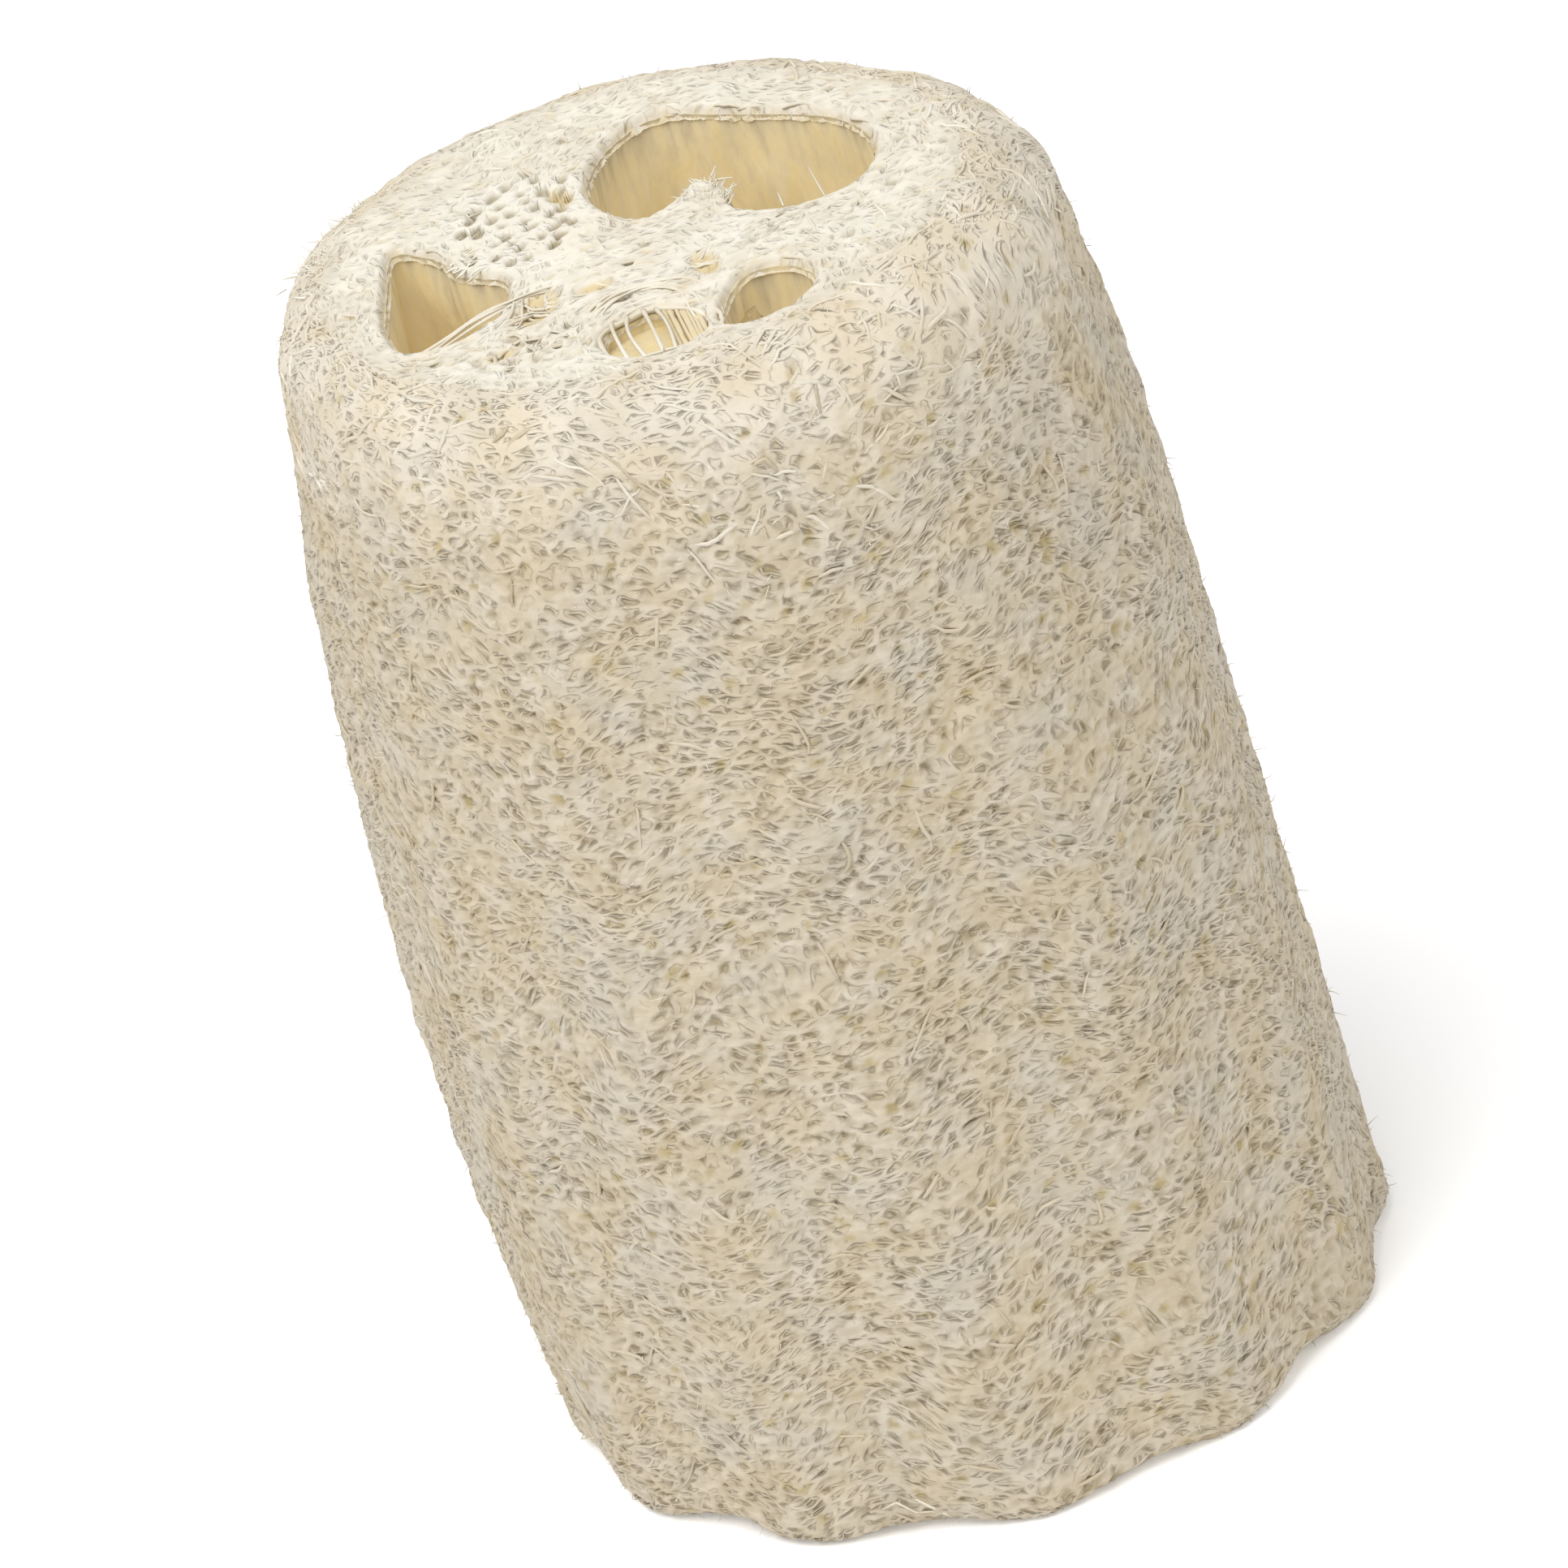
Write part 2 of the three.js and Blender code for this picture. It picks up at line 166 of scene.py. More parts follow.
def closedCurve(corners, count):
    # Evenly spaced points on a closed smooth curve through the corners, whose speed follows
    # the square root of the corners' distances
    p = np.array(corners, float)
    before, after, next2 = np.roll(p, 1, 0), np.roll(p, -1, 0), np.roll(p, -2, 0)
    sides = ((before, p), (p, after), (after, next2))
    d0, d1, d2 = (np.sqrt(np.linalg.norm(b - a, axis=1))[:, None] for a, b in sides)
    v = ((p - before) / d0 - (after - before) / (d0 + d1) + (after - p) / d1) * d1
    w = ((after - p) / d1 - (next2 - p) / (d1 + d2) + (next2 - after) / d2) * d1
    t = np.linspace(0, 1, curveSteps["closed"], endpoint=False)[None, :, None]
    p, after, v, w = p[:, None], after[:, None], v[:, None], w[:, None]
    fine = (2 * p - 2 * after + v + w) * t**3 + (3 * after - 3 * p - 2 * v - w) * t**2 + v * t + p
    fine = fine.reshape(-1, p.shape[-1])
    return evenSteps(np.vstack([fine, fine[:1]]), count + 1)[:-1]


def evenSteps(line, count):
    # The same line with count points at even distances along it
    length = np.concatenate([[0], np.cumsum(np.linalg.norm(np.diff(line, axis=0), axis=1))])
    at = np.linspace(0, length[-1], count)
    return np.stack([np.interp(at, length, line[:, i]) for i in range(line.shape[1])], 1)


def openCurve(corners, count):
    # Evenly spaced points on a smooth open curve through the corners
    p = np.array(corners, float)
    p = np.vstack([2 * p[0] - p[1], p, 2 * p[-1] - p[-2]])
    t = np.linspace(0, 1, curveSteps["open"], endpoint=False)[None, :, None]
    a, b, c, d = (p[i:len(p) - 3 + i, None] for i in range(4))
    v, w = (c - a) / 2, (d - b) / 2
    fine = (2 * b - 2 * c + v + w) * t**3 + (3 * c - 3 * b - 2 * v - w) * t**2 + v * t + b
    return evenSteps(np.vstack([fine.reshape(-1, p.shape[1]), p[-2:-1]]), count)


def signedArea(line):
    # Twice the area inside a closed outline, positive where it runs anticlockwise
    after = np.roll(line, -1, 0)
    return np.sum(line[:, 0] * after[:, 1] - line[:, 1] * after[:, 0])


def meshObject(name, points, corners, starts, uv, attributes):
    # A smooth-shaded object from whole arrays: points, the faces' corners and where each starts
    mesh = bpy.data.meshes.new(name)
    mesh.vertices.add(len(points))
    mesh.vertices.foreach_set("co", ((points + centring) * metre).astype(np.float32).ravel())
    mesh.loops.add(len(corners))
    mesh.loops.foreach_set("vertex_index", corners.astype(np.int32))
    mesh.polygons.add(len(starts))
    mesh.polygons.foreach_set("loop_start", starts.astype(np.int32))
    mesh.update(calc_edges=True)
    mesh.validate()
    layer = mesh.uv_layers.new(name="OFBake")
    layer.uv.foreach_set("vector", uv.astype(np.float32).ravel())
    for key, values in attributes.items():
        isVector = values.ndim == 2
        kind, field = ("FLOAT_VECTOR", "vector") if isVector else ("FLOAT", "value")
        data = mesh.attributes.new(key, kind, "POINT").data
        data.foreach_set(field, values.astype(np.float32).ravel())
    mesh.shade_smooth()
    piece = bpy.data.objects.new(name, mesh)
    bpy.context.scene.collection.objects.link(piece)
    return piece


def tubes(name, lines, ups, radii, tint, gold=0, sides=3, closed=False):
    # Round strands along lines of equal length. Each gets rings of corners in the plane across
    # it, its own strip of the map, and the two shares that its color is mixed by.
    count, n = lines.shape[:2]
    if closed:
        along = unit(np.roll(lines, -1, 1) - np.roll(lines, 1, 1))
    else:
        along = unit(np.gradient(lines, axis=1))
    across = unit(np.cross(along, np.broadcast_to(ups, lines.shape)))
    over = np.cross(across, along)
    turn = fullTurn * np.arange(sides) / sides
    ring = over[:, :, None] * np.cos(turn)[:, None] + across[:, :, None] * np.sin(turn)[:, None]
    radii = np.broadcast_to(radii, lines.shape[:2])
    points = (lines[:, :, None] + radii[:, :, None, None] * ring).reshape(-1, 3)
    steps = n if closed else n - 1
    k, i, j = np.meshgrid(np.arange(count), np.arange(steps), np.arange(sides), indexing="ij")
    at = lambda i, j: (k * n + i % n) * sides + j % sides
    quads = np.stack([at(i, j), at(i, j + 1), at(i + 1, j + 1), at(i + 1, j)], -1).reshape(-1, 4)
    columns = max(1, round(math.sqrt(count * sides / steps)))
    rows = math.ceil(count / columns)
    left, low = (k % columns) / columns, (k // columns) / rows
    reach = 0.96 if closed else 0.9
    u = lambda i: left + (0.01 + reach * i / steps) / columns
    v = lambda j: low + (0.06 + 0.88 * j / sides) / rows
    uv = np.stack([
        np.stack([u(i), v(j)], -1), np.stack([u(i), v(j + 1)], -1),
        np.stack([u(i + 1), v(j + 1)], -1), np.stack([u(i + 1), v(j)], -1),
    ], -2).reshape(-1, 2)
    corners, starts = quads.ravel(), np.arange(len(quads)) * 4
    if not closed:
        k = np.arange(count)[:, None]
        first = k * n * sides + np.arange(sides)[::-1]
        last = (k * n + n - 1) * sides + np.arange(sides)
        caps = np.concatenate([first, last])
        left, low = (k % columns) / columns, (k // columns) / rows
        spot = lambda rise: np.stack([
            left + (0.955 + 0.03 * np.cos(turn)) / columns, low + (rise + 0.2 * np.sin(turn)) / rows,
        ], -1).reshape(-1, 2)
        starts = np.concatenate([starts, len(corners) + np.arange(2 * count) * sides])
        corners = np.concatenate([corners, caps.ravel()])
        uv = np.concatenate([uv, spot(0.26), spot(0.74)])
    spread = lambda share: np.repeat(np.broadcast_to(share, lines.shape[:2]).ravel(), sides)
    return meshObject(name, points, corners, starts, uv, {"tint": spread(tint), "gold": spread(gold)})


class Wire:
    # An output of a node tree. Sums and products of wires add Math or Vector Math nodes.
    def __init__(self, tree, socket):
        self.tree, self.socket = tree, socket

    def node(self, kind, settings=None, inputs=None, output=0):
        # Adds any node: its settings first, then the values or wires of its sockets
        new = self.tree.nodes.new(kind)
        for key, value in (settings or {}).items():
            setattr(new, key, value)
        for key, value in (inputs or {}).items():
            if isinstance(value, Wire):
                self.tree.links.new(value.socket, new.inputs[key])
            else:
                new.inputs[key].default_value = value
        return Wire(self.tree, new.outputs[output])

    def combine(self, operation, a, b):
        # One Math node, or a Vector Math node where this wire carries a vector
        isVector = self.socket.type in ("VECTOR", "RGBA")
        kind = "ShaderNodeVectorMath" if isVector else "ShaderNodeMath"
        fill = lambda x: (x, x, x) if isVector and isinstance(x, (int, float)) else x
        return self.node(kind, {"operation": operation}, {0: fill(a), 1: fill(b)})

    def __add__(self, other):
        return self.combine("ADD", self, other)

    def __radd__(self, other):
        return self.combine("ADD", other, self)

    def __sub__(self, other):
        return self.combine("SUBTRACT", self, other)

    def __rsub__(self, other):
        return self.combine("SUBTRACT", other, self)

    def __mul__(self, other):
        return self.combine("MULTIPLY", self, other)

    def __rmul__(self, other):
        return self.combine("MULTIPLY", other, self)

    def larger(self, other):
        # The larger of two wires' values
        return self.combine("MAXIMUM", self, other)

    def mixColors(self, low, high):
        # The color a share of the way from low to high, this wire being the share
        color = lambda x: x if isinstance(x, Wire) else (*x, 1)
        inputs = {0: self, 6: color(low), 7: color(high)}
        return self.node("ShaderNodeMix", {"data_type": "RGBA"}, inputs, 2)

    def between(self, low, high):
        # 0 where this wire is at low, 1 where it is at high
        settings = {"interpolation_type": "SMOOTHSTEP"}
        return self.node("ShaderNodeMapRange", settings, {0: self, 1: low, 2: high})

    def noise(self, scale, detail, output=0):
        # Noise with this wire as its place, in features per unit of it
        inputs = {"Vector": self, "Scale": scale, "Detail": detail}
        return self.node("ShaderNodeTexNoise", {}, inputs, output)

    def cellEdge(self, scale):
        # Distance to the nearest edge of cells round random points, with this wire as its place
        settings = {"feature": "DISTANCE_TO_EDGE"}
        return self.node("ShaderNodeTexVoronoi", settings, {"Vector": self, "Scale": scale})

    def attribute(self, name, output):
        # What a piece carries at its corners under this name
        return self.node("ShaderNodeAttribute", {"attribute_name": name}, None, output)


def netStrands(start, look):
    # Strands along the cell edges of two nets, in the skin's own bent coordinates: 1 on a
    # strand's middle, falling off smoothly to both sides, and the larger of the two nets
    course = start.attribute("course", 1)
    bent = course + course.noise(look["swayScale"], 1.0, 1) * look["sway"]
    strands = None
    for scale, shift, low, high, rise in look["net"]:
        edge = (bent + shift).cellEdge(scale)
        strand = (1 - edge.between(low, high)) * rise
        strands = strand.larger(strands) if strands else strand
    return strands


def fibreMaterial(name, look):
    # Dry plant fibre. Color: dull to pale by the strand's own share, specks and the strands
    # drawn in a skin, then towards the patches' and the grey patches' colors, and towards gold
    # where it lies deep or lines a channel. Where the look has one, a painted glow is emitted
    # by the gold share. The bumps are the drawn strands and a fine grain.
    material = bpy.data.materials.new(name)
    material.use_nodes = True
    tree = material.node_tree
    shader = tree.nodes["Principled BSDF"]
    start = Wire(tree, None)
    place = start.node("ShaderNodeTexCoord", output=3)
    tint = start.attribute("tint", 2)
    gold = start.attribute("gold", 2)
    patches = place.noise(look["patchScale"], 2.0).between(0.35, 0.65)
    streaks = place * Vector(look["grain"])
    specks = streaks.noise(look["speckScale"], 2.0).between(0.3, 0.7)
    share = tint + specks * look["speckShare"] - look["speckShare"] / 2
    height = streaks.noise(look["grainScale"], 2.0)
    if look.get("net"):
        strands = netStrands(start, look)
        share = share + strands * look["netShade"] - look["netShade"] / 2
        height = strands + height * look["grainShare"]
    color = share.mixColors(look["dull"], look["pale"])
    color = (patches * look["patchShare"]).mixColors(color, look["patch"])
    if look.get("cool"):
        coolPatches = (place + look["coolShift"]).noise(look["coolScale"], 1.0).between(0.45, 0.7)
        color = (coolPatches * look["coolShare"]).mixColors(color, look["cool"])
    color = (gold * (1 - look["fleck"] + specks * look["fleck"])).mixColors(color, look["gold"])
    depth = {"Strength": look["bump"], "Distance": look["bumpDepth"], "Height": height}
    bump = start.node("ShaderNodeBump", {}, depth)
    tree.links.new(color.socket, shader.inputs["Base Color"])
    tree.links.new((look["rough"] + specks * look["roughSpecks"]).socket, shader.inputs["Roughness"])
    tree.links.new(bump.socket, shader.inputs["Normal"])
    shader.inputs["Specular IOR Level"].default_value = look["specular"]
    # A painted glow as emission where the gold share is: painted light in the mat's channels and dips
    if look.get("paintedGlow"):
        paintedGlow = gold.mixColors((0, 0, 0), look["paintedGlow"])
        tree.links.new(paintedGlow.socket, shader.inputs["Emission Color"])
        shader.inputs["Emission Strength"].default_value = look["paintedGlowStrength"]
    return material


# The finish of any fibre, which each piece's own look starts from: colors, how many features
# of a pattern a metre holds, shares of the patterns, the grain's stretch, and its bumps in metres
strandLook = {
    "dull": (0.57, 0.50, 0.375),
    "pale": (0.78, 0.73, 0.60),
    "patch": (0.66, 0.57, 0.38),
    "gold": (0.60, 0.50, 0.32),
    "patchScale": 45.0,
    "patchShare": 0.25,
    "speckScale": 420.0,
    "speckShare": 0.24,
    "grain": (1.0, 1.0, 2.5),
    "grainScale": 1300.0,
    "bump": 0.2,
    "bumpDepth": 0.0002,
    "rough": 0.7,
    "roughSpecks": 0.12,
    "specular": 0.3,
    "fleck": 0.25,
}


def finishPiece(piece, look):
    # Puts a piece in the part's place, with its own finish
    piece.data.materials.clear()
    piece.data.materials.append(fibreMaterial(piece.name, look))
    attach(piece, "root")
    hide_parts("loofah_sponge")
    triangles = sum(p.loop_total - 2 for p in piece.data.polygons)
    print(f"stage: {piece.name}, {triangles} triangles")


# The flow of fibres across a cut face, on a grid of spots: how far each spot is from the
# nearest mouth, and which way the fibres run there
flow = {
    "step": 0.6,
    "half": 54.0,
    "edgeSteps": 120,
    "aroundShare": (0.25, 1.2),
    "aroundFrom": (26, 40),
    "hold": 3.2,
    "mouthShare": 2.4,
    "drawShare": 0.5,
    "drawLength": 17,
}


def insideOutline(spots, outline):
    # True where a line from the spot towards +X crosses the outline an odd number of times
    a, b = outline, np.roll(outline, -1, 0)
    x, y = spots[:, :1], spots[:, 1:]
    spans = (a[:, 1] > y) != (b[:, 1] > y)
    rise = np.where(a[:, 1] == b[:, 1], 1e-9, b[:, 1] - a[:, 1])
    crossing = a[:, 0] + (y - a[:, 1]) * (b[:, 0] - a[:, 0]) / rise
    return (spans & (x < crossing)).sum(1) % 2 == 1


def flowOf(outlines, pulls, seed):
    # Directions are kept as twice their angle, so that opposite ways are the same. Each spot
    # adds the turn round the axis, the nearest mouth's edge, local pulls and slow noise.
    axis = np.arange(-flow["half"], flow["half"] + 0.01, flow["step"])
    x, y = np.meshgrid(axis, axis, indexing="ij")
    spots = np.stack([x.ravel(), y.ravel()], 1)
    around = 2 * (np.arctan2(spots[:, 1], spots[:, 0]) + math.pi / 2)
    least, rise = flow["aroundShare"]
    weight = least + rise * smoothStep(np.hypot(*spots.T), *flow["aroundFrom"])
    double = weight[:, None] * np.stack([np.cos(around), np.sin(around)], 1)
    gap = np.full(len(spots), 99.0)
    for corners in outlines.values():
        line = closedCurve(corners, flow["edgeSteps"])
        tangent = np.roll(line, -1, 0) - np.roll(line, 1, 0)
        distance = np.linalg.norm(spots[:, None] - line[None], axis=2)
        nearest = distance.argmin(1)
        distance = distance.min(1)
        turn = 2 * np.arctan2(tangent[nearest, 1], tangent[nearest, 0])
        weight = flow["mouthShare"] * np.exp(-((distance / flow["hold"]) ** 2))
        double += weight[:, None] * np.stack([np.cos(turn), np.sin(turn)], 1)
        gap = np.minimum(gap, np.where(insideOutline(spots, line), -distance, distance))
    for px, py, reach, degrees, share in pulls:
        weight = share * np.exp(-((spots[:, 0] - px) ** 2 + (spots[:, 1] - py) ** 2) / reach**2)
        turn = 2 * math.radians(degrees)
        double += weight[:, None] * np.array([math.cos(turn), math.sin(turn)])
    solid = np.column_stack([spots, np.zeros(len(spots))])
    double[:, 0] += flow["drawShare"] * waveNoise(solid, flow["drawLength"], seed)
    double[:, 1] += flow["drawShare"] * waveNoise(solid, flow["drawLength"], seed + 1)
    grids = {"gap": gap, "x": double[:, 0], "y": double[:, 1]}
    return {key: values.reshape(x.shape) for key, values in grids.items()}


def readGrid(values, places):
    # The grid's value at each place, mixed between the four spots round it
    at = (places[..., :2] + flow["half"]) / flow["step"]
    at = np.clip(at, 0, np.array(values.shape) - 1.001)
    i, j = at[..., 0].astype(int), at[..., 1].astype(int)
    s, t = at[..., 0] - i, at[..., 1] - j
    return (values[i, j] * (1 - s) * (1 - t) + values[i + 1, j] * s * (1 - t)
            + values[i, j + 1] * (1 - s) * t + values[i + 1, j + 1] * s * t)


def faceHeight(places, upper):
    # Height of a cut face: flat, and rounded off towards the wall as the rim or the foot is
    angle = np.arctan2(places[..., 1], places[..., 0])
    if upper:
        r, z = np.hypot(places[..., 0], places[..., 1]), wall["height"]
        rim = wall["topRim"] + wall["topRimLean"] * np.cos(angle)
    else:
        angle = np.arctan2(places[..., 1], places[..., 0] - wall["baseLean"])
        r, z = np.hypot(places[..., 0] - wall["baseLean"], places[..., 1]), 0.0
        rim = wall["bottomRim"] - wall["bottomScallop"] * np.cos(ribPhase(angle, 0))
    past = np.clip((r - wallRadius(angle, np.full_like(r, z)) + rim) / rim, 0, 1)
    drop = rim * (1 - np.sqrt(1 - past**2))
    return z - drop if upper else z + drop


# Local pulls of the upper cut: x, y, reach, direction in degrees, share
upperPulls = [
    (-13, 6, 8, 50, 3.0), (-8, -9, 6, 20, 1.2), (-12, -20, 6, -25, 1.0), (20, -14, 8, 65, 1.0),
]
upperFlow = flowOf(upperMouths, upperPulls, 5)
lowerFlow = flowOf(lowerMouths, [], 9)
print("stage: fibre flow")

# Golden dips of the upper cut: x, y, half sizes, turn, depth. Each is a bowl that rises
# smoothly between two shares of its half sizes.
upperDips = [
    (-15.0, -14.5, 2.8, 5.0, -25, 0.9),
    (4.7, -15.2, 1.9, 4.0, 8, 0.8),
    (-8.2, -13.6, 3.0, 1.6, 15, 0.7),
    (-9.0, 12.5, 1.6, 3.4, 20, 0.7),
    (-20.0, -24.0, 2.6, 1.6, 20, 0.6),
]
dipEdge = (0.3, 1.25)


def ovalReach(places, x, y, a, b, degrees):
    # Distance from an oval's middle, 1 at its edge: the offset is turned into the oval's own
    # directions and divided by its half sizes
    c, s = math.cos(math.radians(degrees)), math.sin(math.radians(degrees))
    dx, dy = places[..., 0] - x, places[..., 1] - y
    return np.hypot((dx * c + dy * s) / a, (dy * c - dx * s) / b)


def dipAt(places):
    # How deep the mat dips at a place of the upper cut: the deepest of the bowls there
    depth = np.zeros(places.shape[:-1])
    for *oval, size in upperDips:
        depth = np.maximum(depth, size * (1 - smoothStep(ovalReach(places, *oval), *dipEdge)))
    return depth


# Small deep holes of the upper cut: three patches of a staggered lattice, with its middle,
# turn, steps, half extents, and a hole's half sizes, and then single holes. The first patch is
# the pale web. A hole is longer than wide, and each is shaken from its place.
poreFields = [
    {
        "middle": (-14.0, 8.5), "turn": -15, "steps": (2.8, 4.9), "half": (7.6, 11.5),
        "size": (0.6, 1.0),
    },
    {
        "middle": (13.5, -10.8), "turn": -62, "steps": (1.6, 2.4), "half": (2.2, 5.2),
        "size": (0.3, 0.75),
    },
    {
        "middle": (-17.5, -25.0), "turn": 20, "steps": (3.0, 2.6), "half": (5.5, 3.4),
        "size": (0.35, 0.8),
    },
]
singlePores = [
    (-18.5, -21.0, 0.7), (-23.0, -24.0, 0.7), (-12.0, -21.5, 0.6), (-30.0, -20.0, 0.5),
    (-5.0, -19.0, 0.5), (23.0, -12.0, 0.5), (27.5, -9.0, 0.6), (30.0, 2.0, 0.6), (29.5, 8.0, 0.5),
    (-9.0, -19.2, 0.5), (16.5, -15.0, 0.5), (-27.5, -22.0, 0.6), (-3.5, -10.0, 0.5),
    (21.0, -19.0, 0.5), (-20.5, 15.0, 0.6), (-12.0, 20.5, 0.6), (-7.0, 26.5, 0.5),
    (24.0, 20.0, 0.5), (-1.0, -6.5, 0.6),
]
poreForm = {
    "wide": 0.7, "long": 1.3, "shake": (0.18, 0.2), "twist": 12, "rows": 6, "edge": (0.7, 1.3),
    "clear": 0.25, "fromMouths": 1.5,
}


def poreList():
    # Each lattice place inside its patch, shaken, and with its own size: x, y, half sizes, turn
    draw = np.random.default_rng(141)
    wide, long = poreForm["wide"], poreForm["long"]
    shakeU, shakeV = poreForm["shake"]
    found = [(x, y, r, long * r, draw.uniform(0, 180)) for x, y, r in singlePores]
    rows = range(-poreForm["rows"], poreForm["rows"] + 1)
    for field in poreFields:
        c, s = math.cos(math.radians(field["turn"])), math.sin(math.radians(field["turn"]))
        (du, dv), (a, b) = field["steps"], field["half"]
        for row in rows:
            for column in rows:
                u = (column + (row % 2) / 2 + draw.normal(0, shakeU)) * du
                v = (row + draw.normal(0, shakeV)) * dv / 2
                size = draw.uniform(*field["size"])
                if math.hypot(u / a, v / b) < 1:
                    x, y = field["middle"][0] + u * c - v * s, field["middle"][1] + u * s + v * c
                    twist = field["turn"] + draw.normal(0, poreForm["twist"])
                    found.append((x, y, wide * size, long * size, twist))
    return np.array(found)


def webReach(places):
    # Distance from the middle of the pale web, 1 at its edge
    web = poreFields[0]
    return ovalReach(places, *web["middle"], *web["half"], web["turn"])


pores = poreList()
pores = pores[readGrid(upperFlow["gap"], pores[:, :2]) > poreForm["fromMouths"]]


def awayFromPores(lines):
    # Moves points out of the small holes, straight away from their middles
    for x, y, a, b, _ in pores:
        reach = 0.5 * (a + b) + poreForm["clear"]
        offset = lines[..., :2] - np.array([x, y])
        distance = np.maximum(np.linalg.norm(offset, axis=-1, keepdims=True), 0.05)
        lines[..., :2] += offset / distance * np.maximum(reach - distance, 0)
    return lines


def ringFaces(rows, columns):
    # Quads between rings of corners, each ring closed on itself: corner number is row times
    # columns plus column
    i, j = np.meshgrid(np.arange(rows - 1), np.arange(columns), indexing="ij")
    at = lambda i, j: i * columns + j % columns
    quads = np.stack([at(i, j), at(i, j + 1), at(i + 1, j + 1), at(i + 1, j)], -1)
    return i, j, quads.reshape(-1, 4)


def closedRings(rows, columns):
    # Quads between the rings, and at both ends a fan of triangles to a middle point, which are
    # the two points after the rings. Also where each face starts, and each quad corner's share
    # of a turn, which ends at 1 and not at 0.
    quads = ringFaces(rows, columns)[2]
    j = np.arange(columns)
    after, top, middle = (j + 1) % columns, (rows - 1) * columns, rows * columns
    low = np.stack([np.full(columns, middle), after, j], -1)
    high = np.stack([np.full(columns, middle + 1), top + j, top + after], -1)
    fans = np.concatenate([low, high]).ravel()
    starts = np.concatenate([np.arange(len(quads)) * 4, len(quads) * 4 + np.arange(2 * columns) * 3])
    around = (quads % columns).ravel() / columns
    wraps = np.repeat(np.tile(j == columns - 1, rows - 1), 4)
    around = np.where(wraps & (around < 0.5), around + 1, around)
    return quads.ravel(), fans, starts, around


# The closed inner mat, which the skins lie on. Its part of the map is the lower half for the
# side, and a square each for the two faces, given by their corner and size.
mat = {
    "columns": 180,
    "sideStep": 3.0,
    "faceStep": 1.6,
    "faceStart": 10,
    "sideLift": -1.1,
    "rough": 0.08,
    "faceRough": 0.35,
    "roughLengths": (3.5, 3.0),
    "seeds": (71, 72),
    "baseRise": 1.1,
    "faceDrop": 1.1,
    "webDrop": 1.9,
    "webEdge": (0.85, 1.1),
    "webGap": (0.6, 2.0),
    "tint": 0.4,
    "dipGold": (0.1, 0.8),
    "upperFrom": 140,
    "faceWidth": 110,
    "sideMap": (0.005, 0.005, 0.99, 0.485),
    "baseMap": (0.005, 0.5, 0.24),
    "topMap": (0.255, 0.5, 0.24),
    "look": {
        **strandLook,
        "dull": (0.46, 0.39, 0.26),
        "pale": (0.80, 0.75, 0.62),
        "patch": (0.58, 0.49, 0.31),
        "gold": (0.64, 0.52, 0.255),
        "speckScale": 900.0,
        "speckShare": 0.5,
        "grain": (1.0, 1.0, 0.3),
        "fleck": 0.6,
        "grainScale": 1100.0,
        "bump": 0.6,
        "bumpDepth": 0.0003,
        # A painted glow, emitted where the gold share is: painted light in the channels and dips
        "paintedGlow": (0.76, 0.62, 0.36),
        "paintedGlowStrength": 0.2,
    },
}


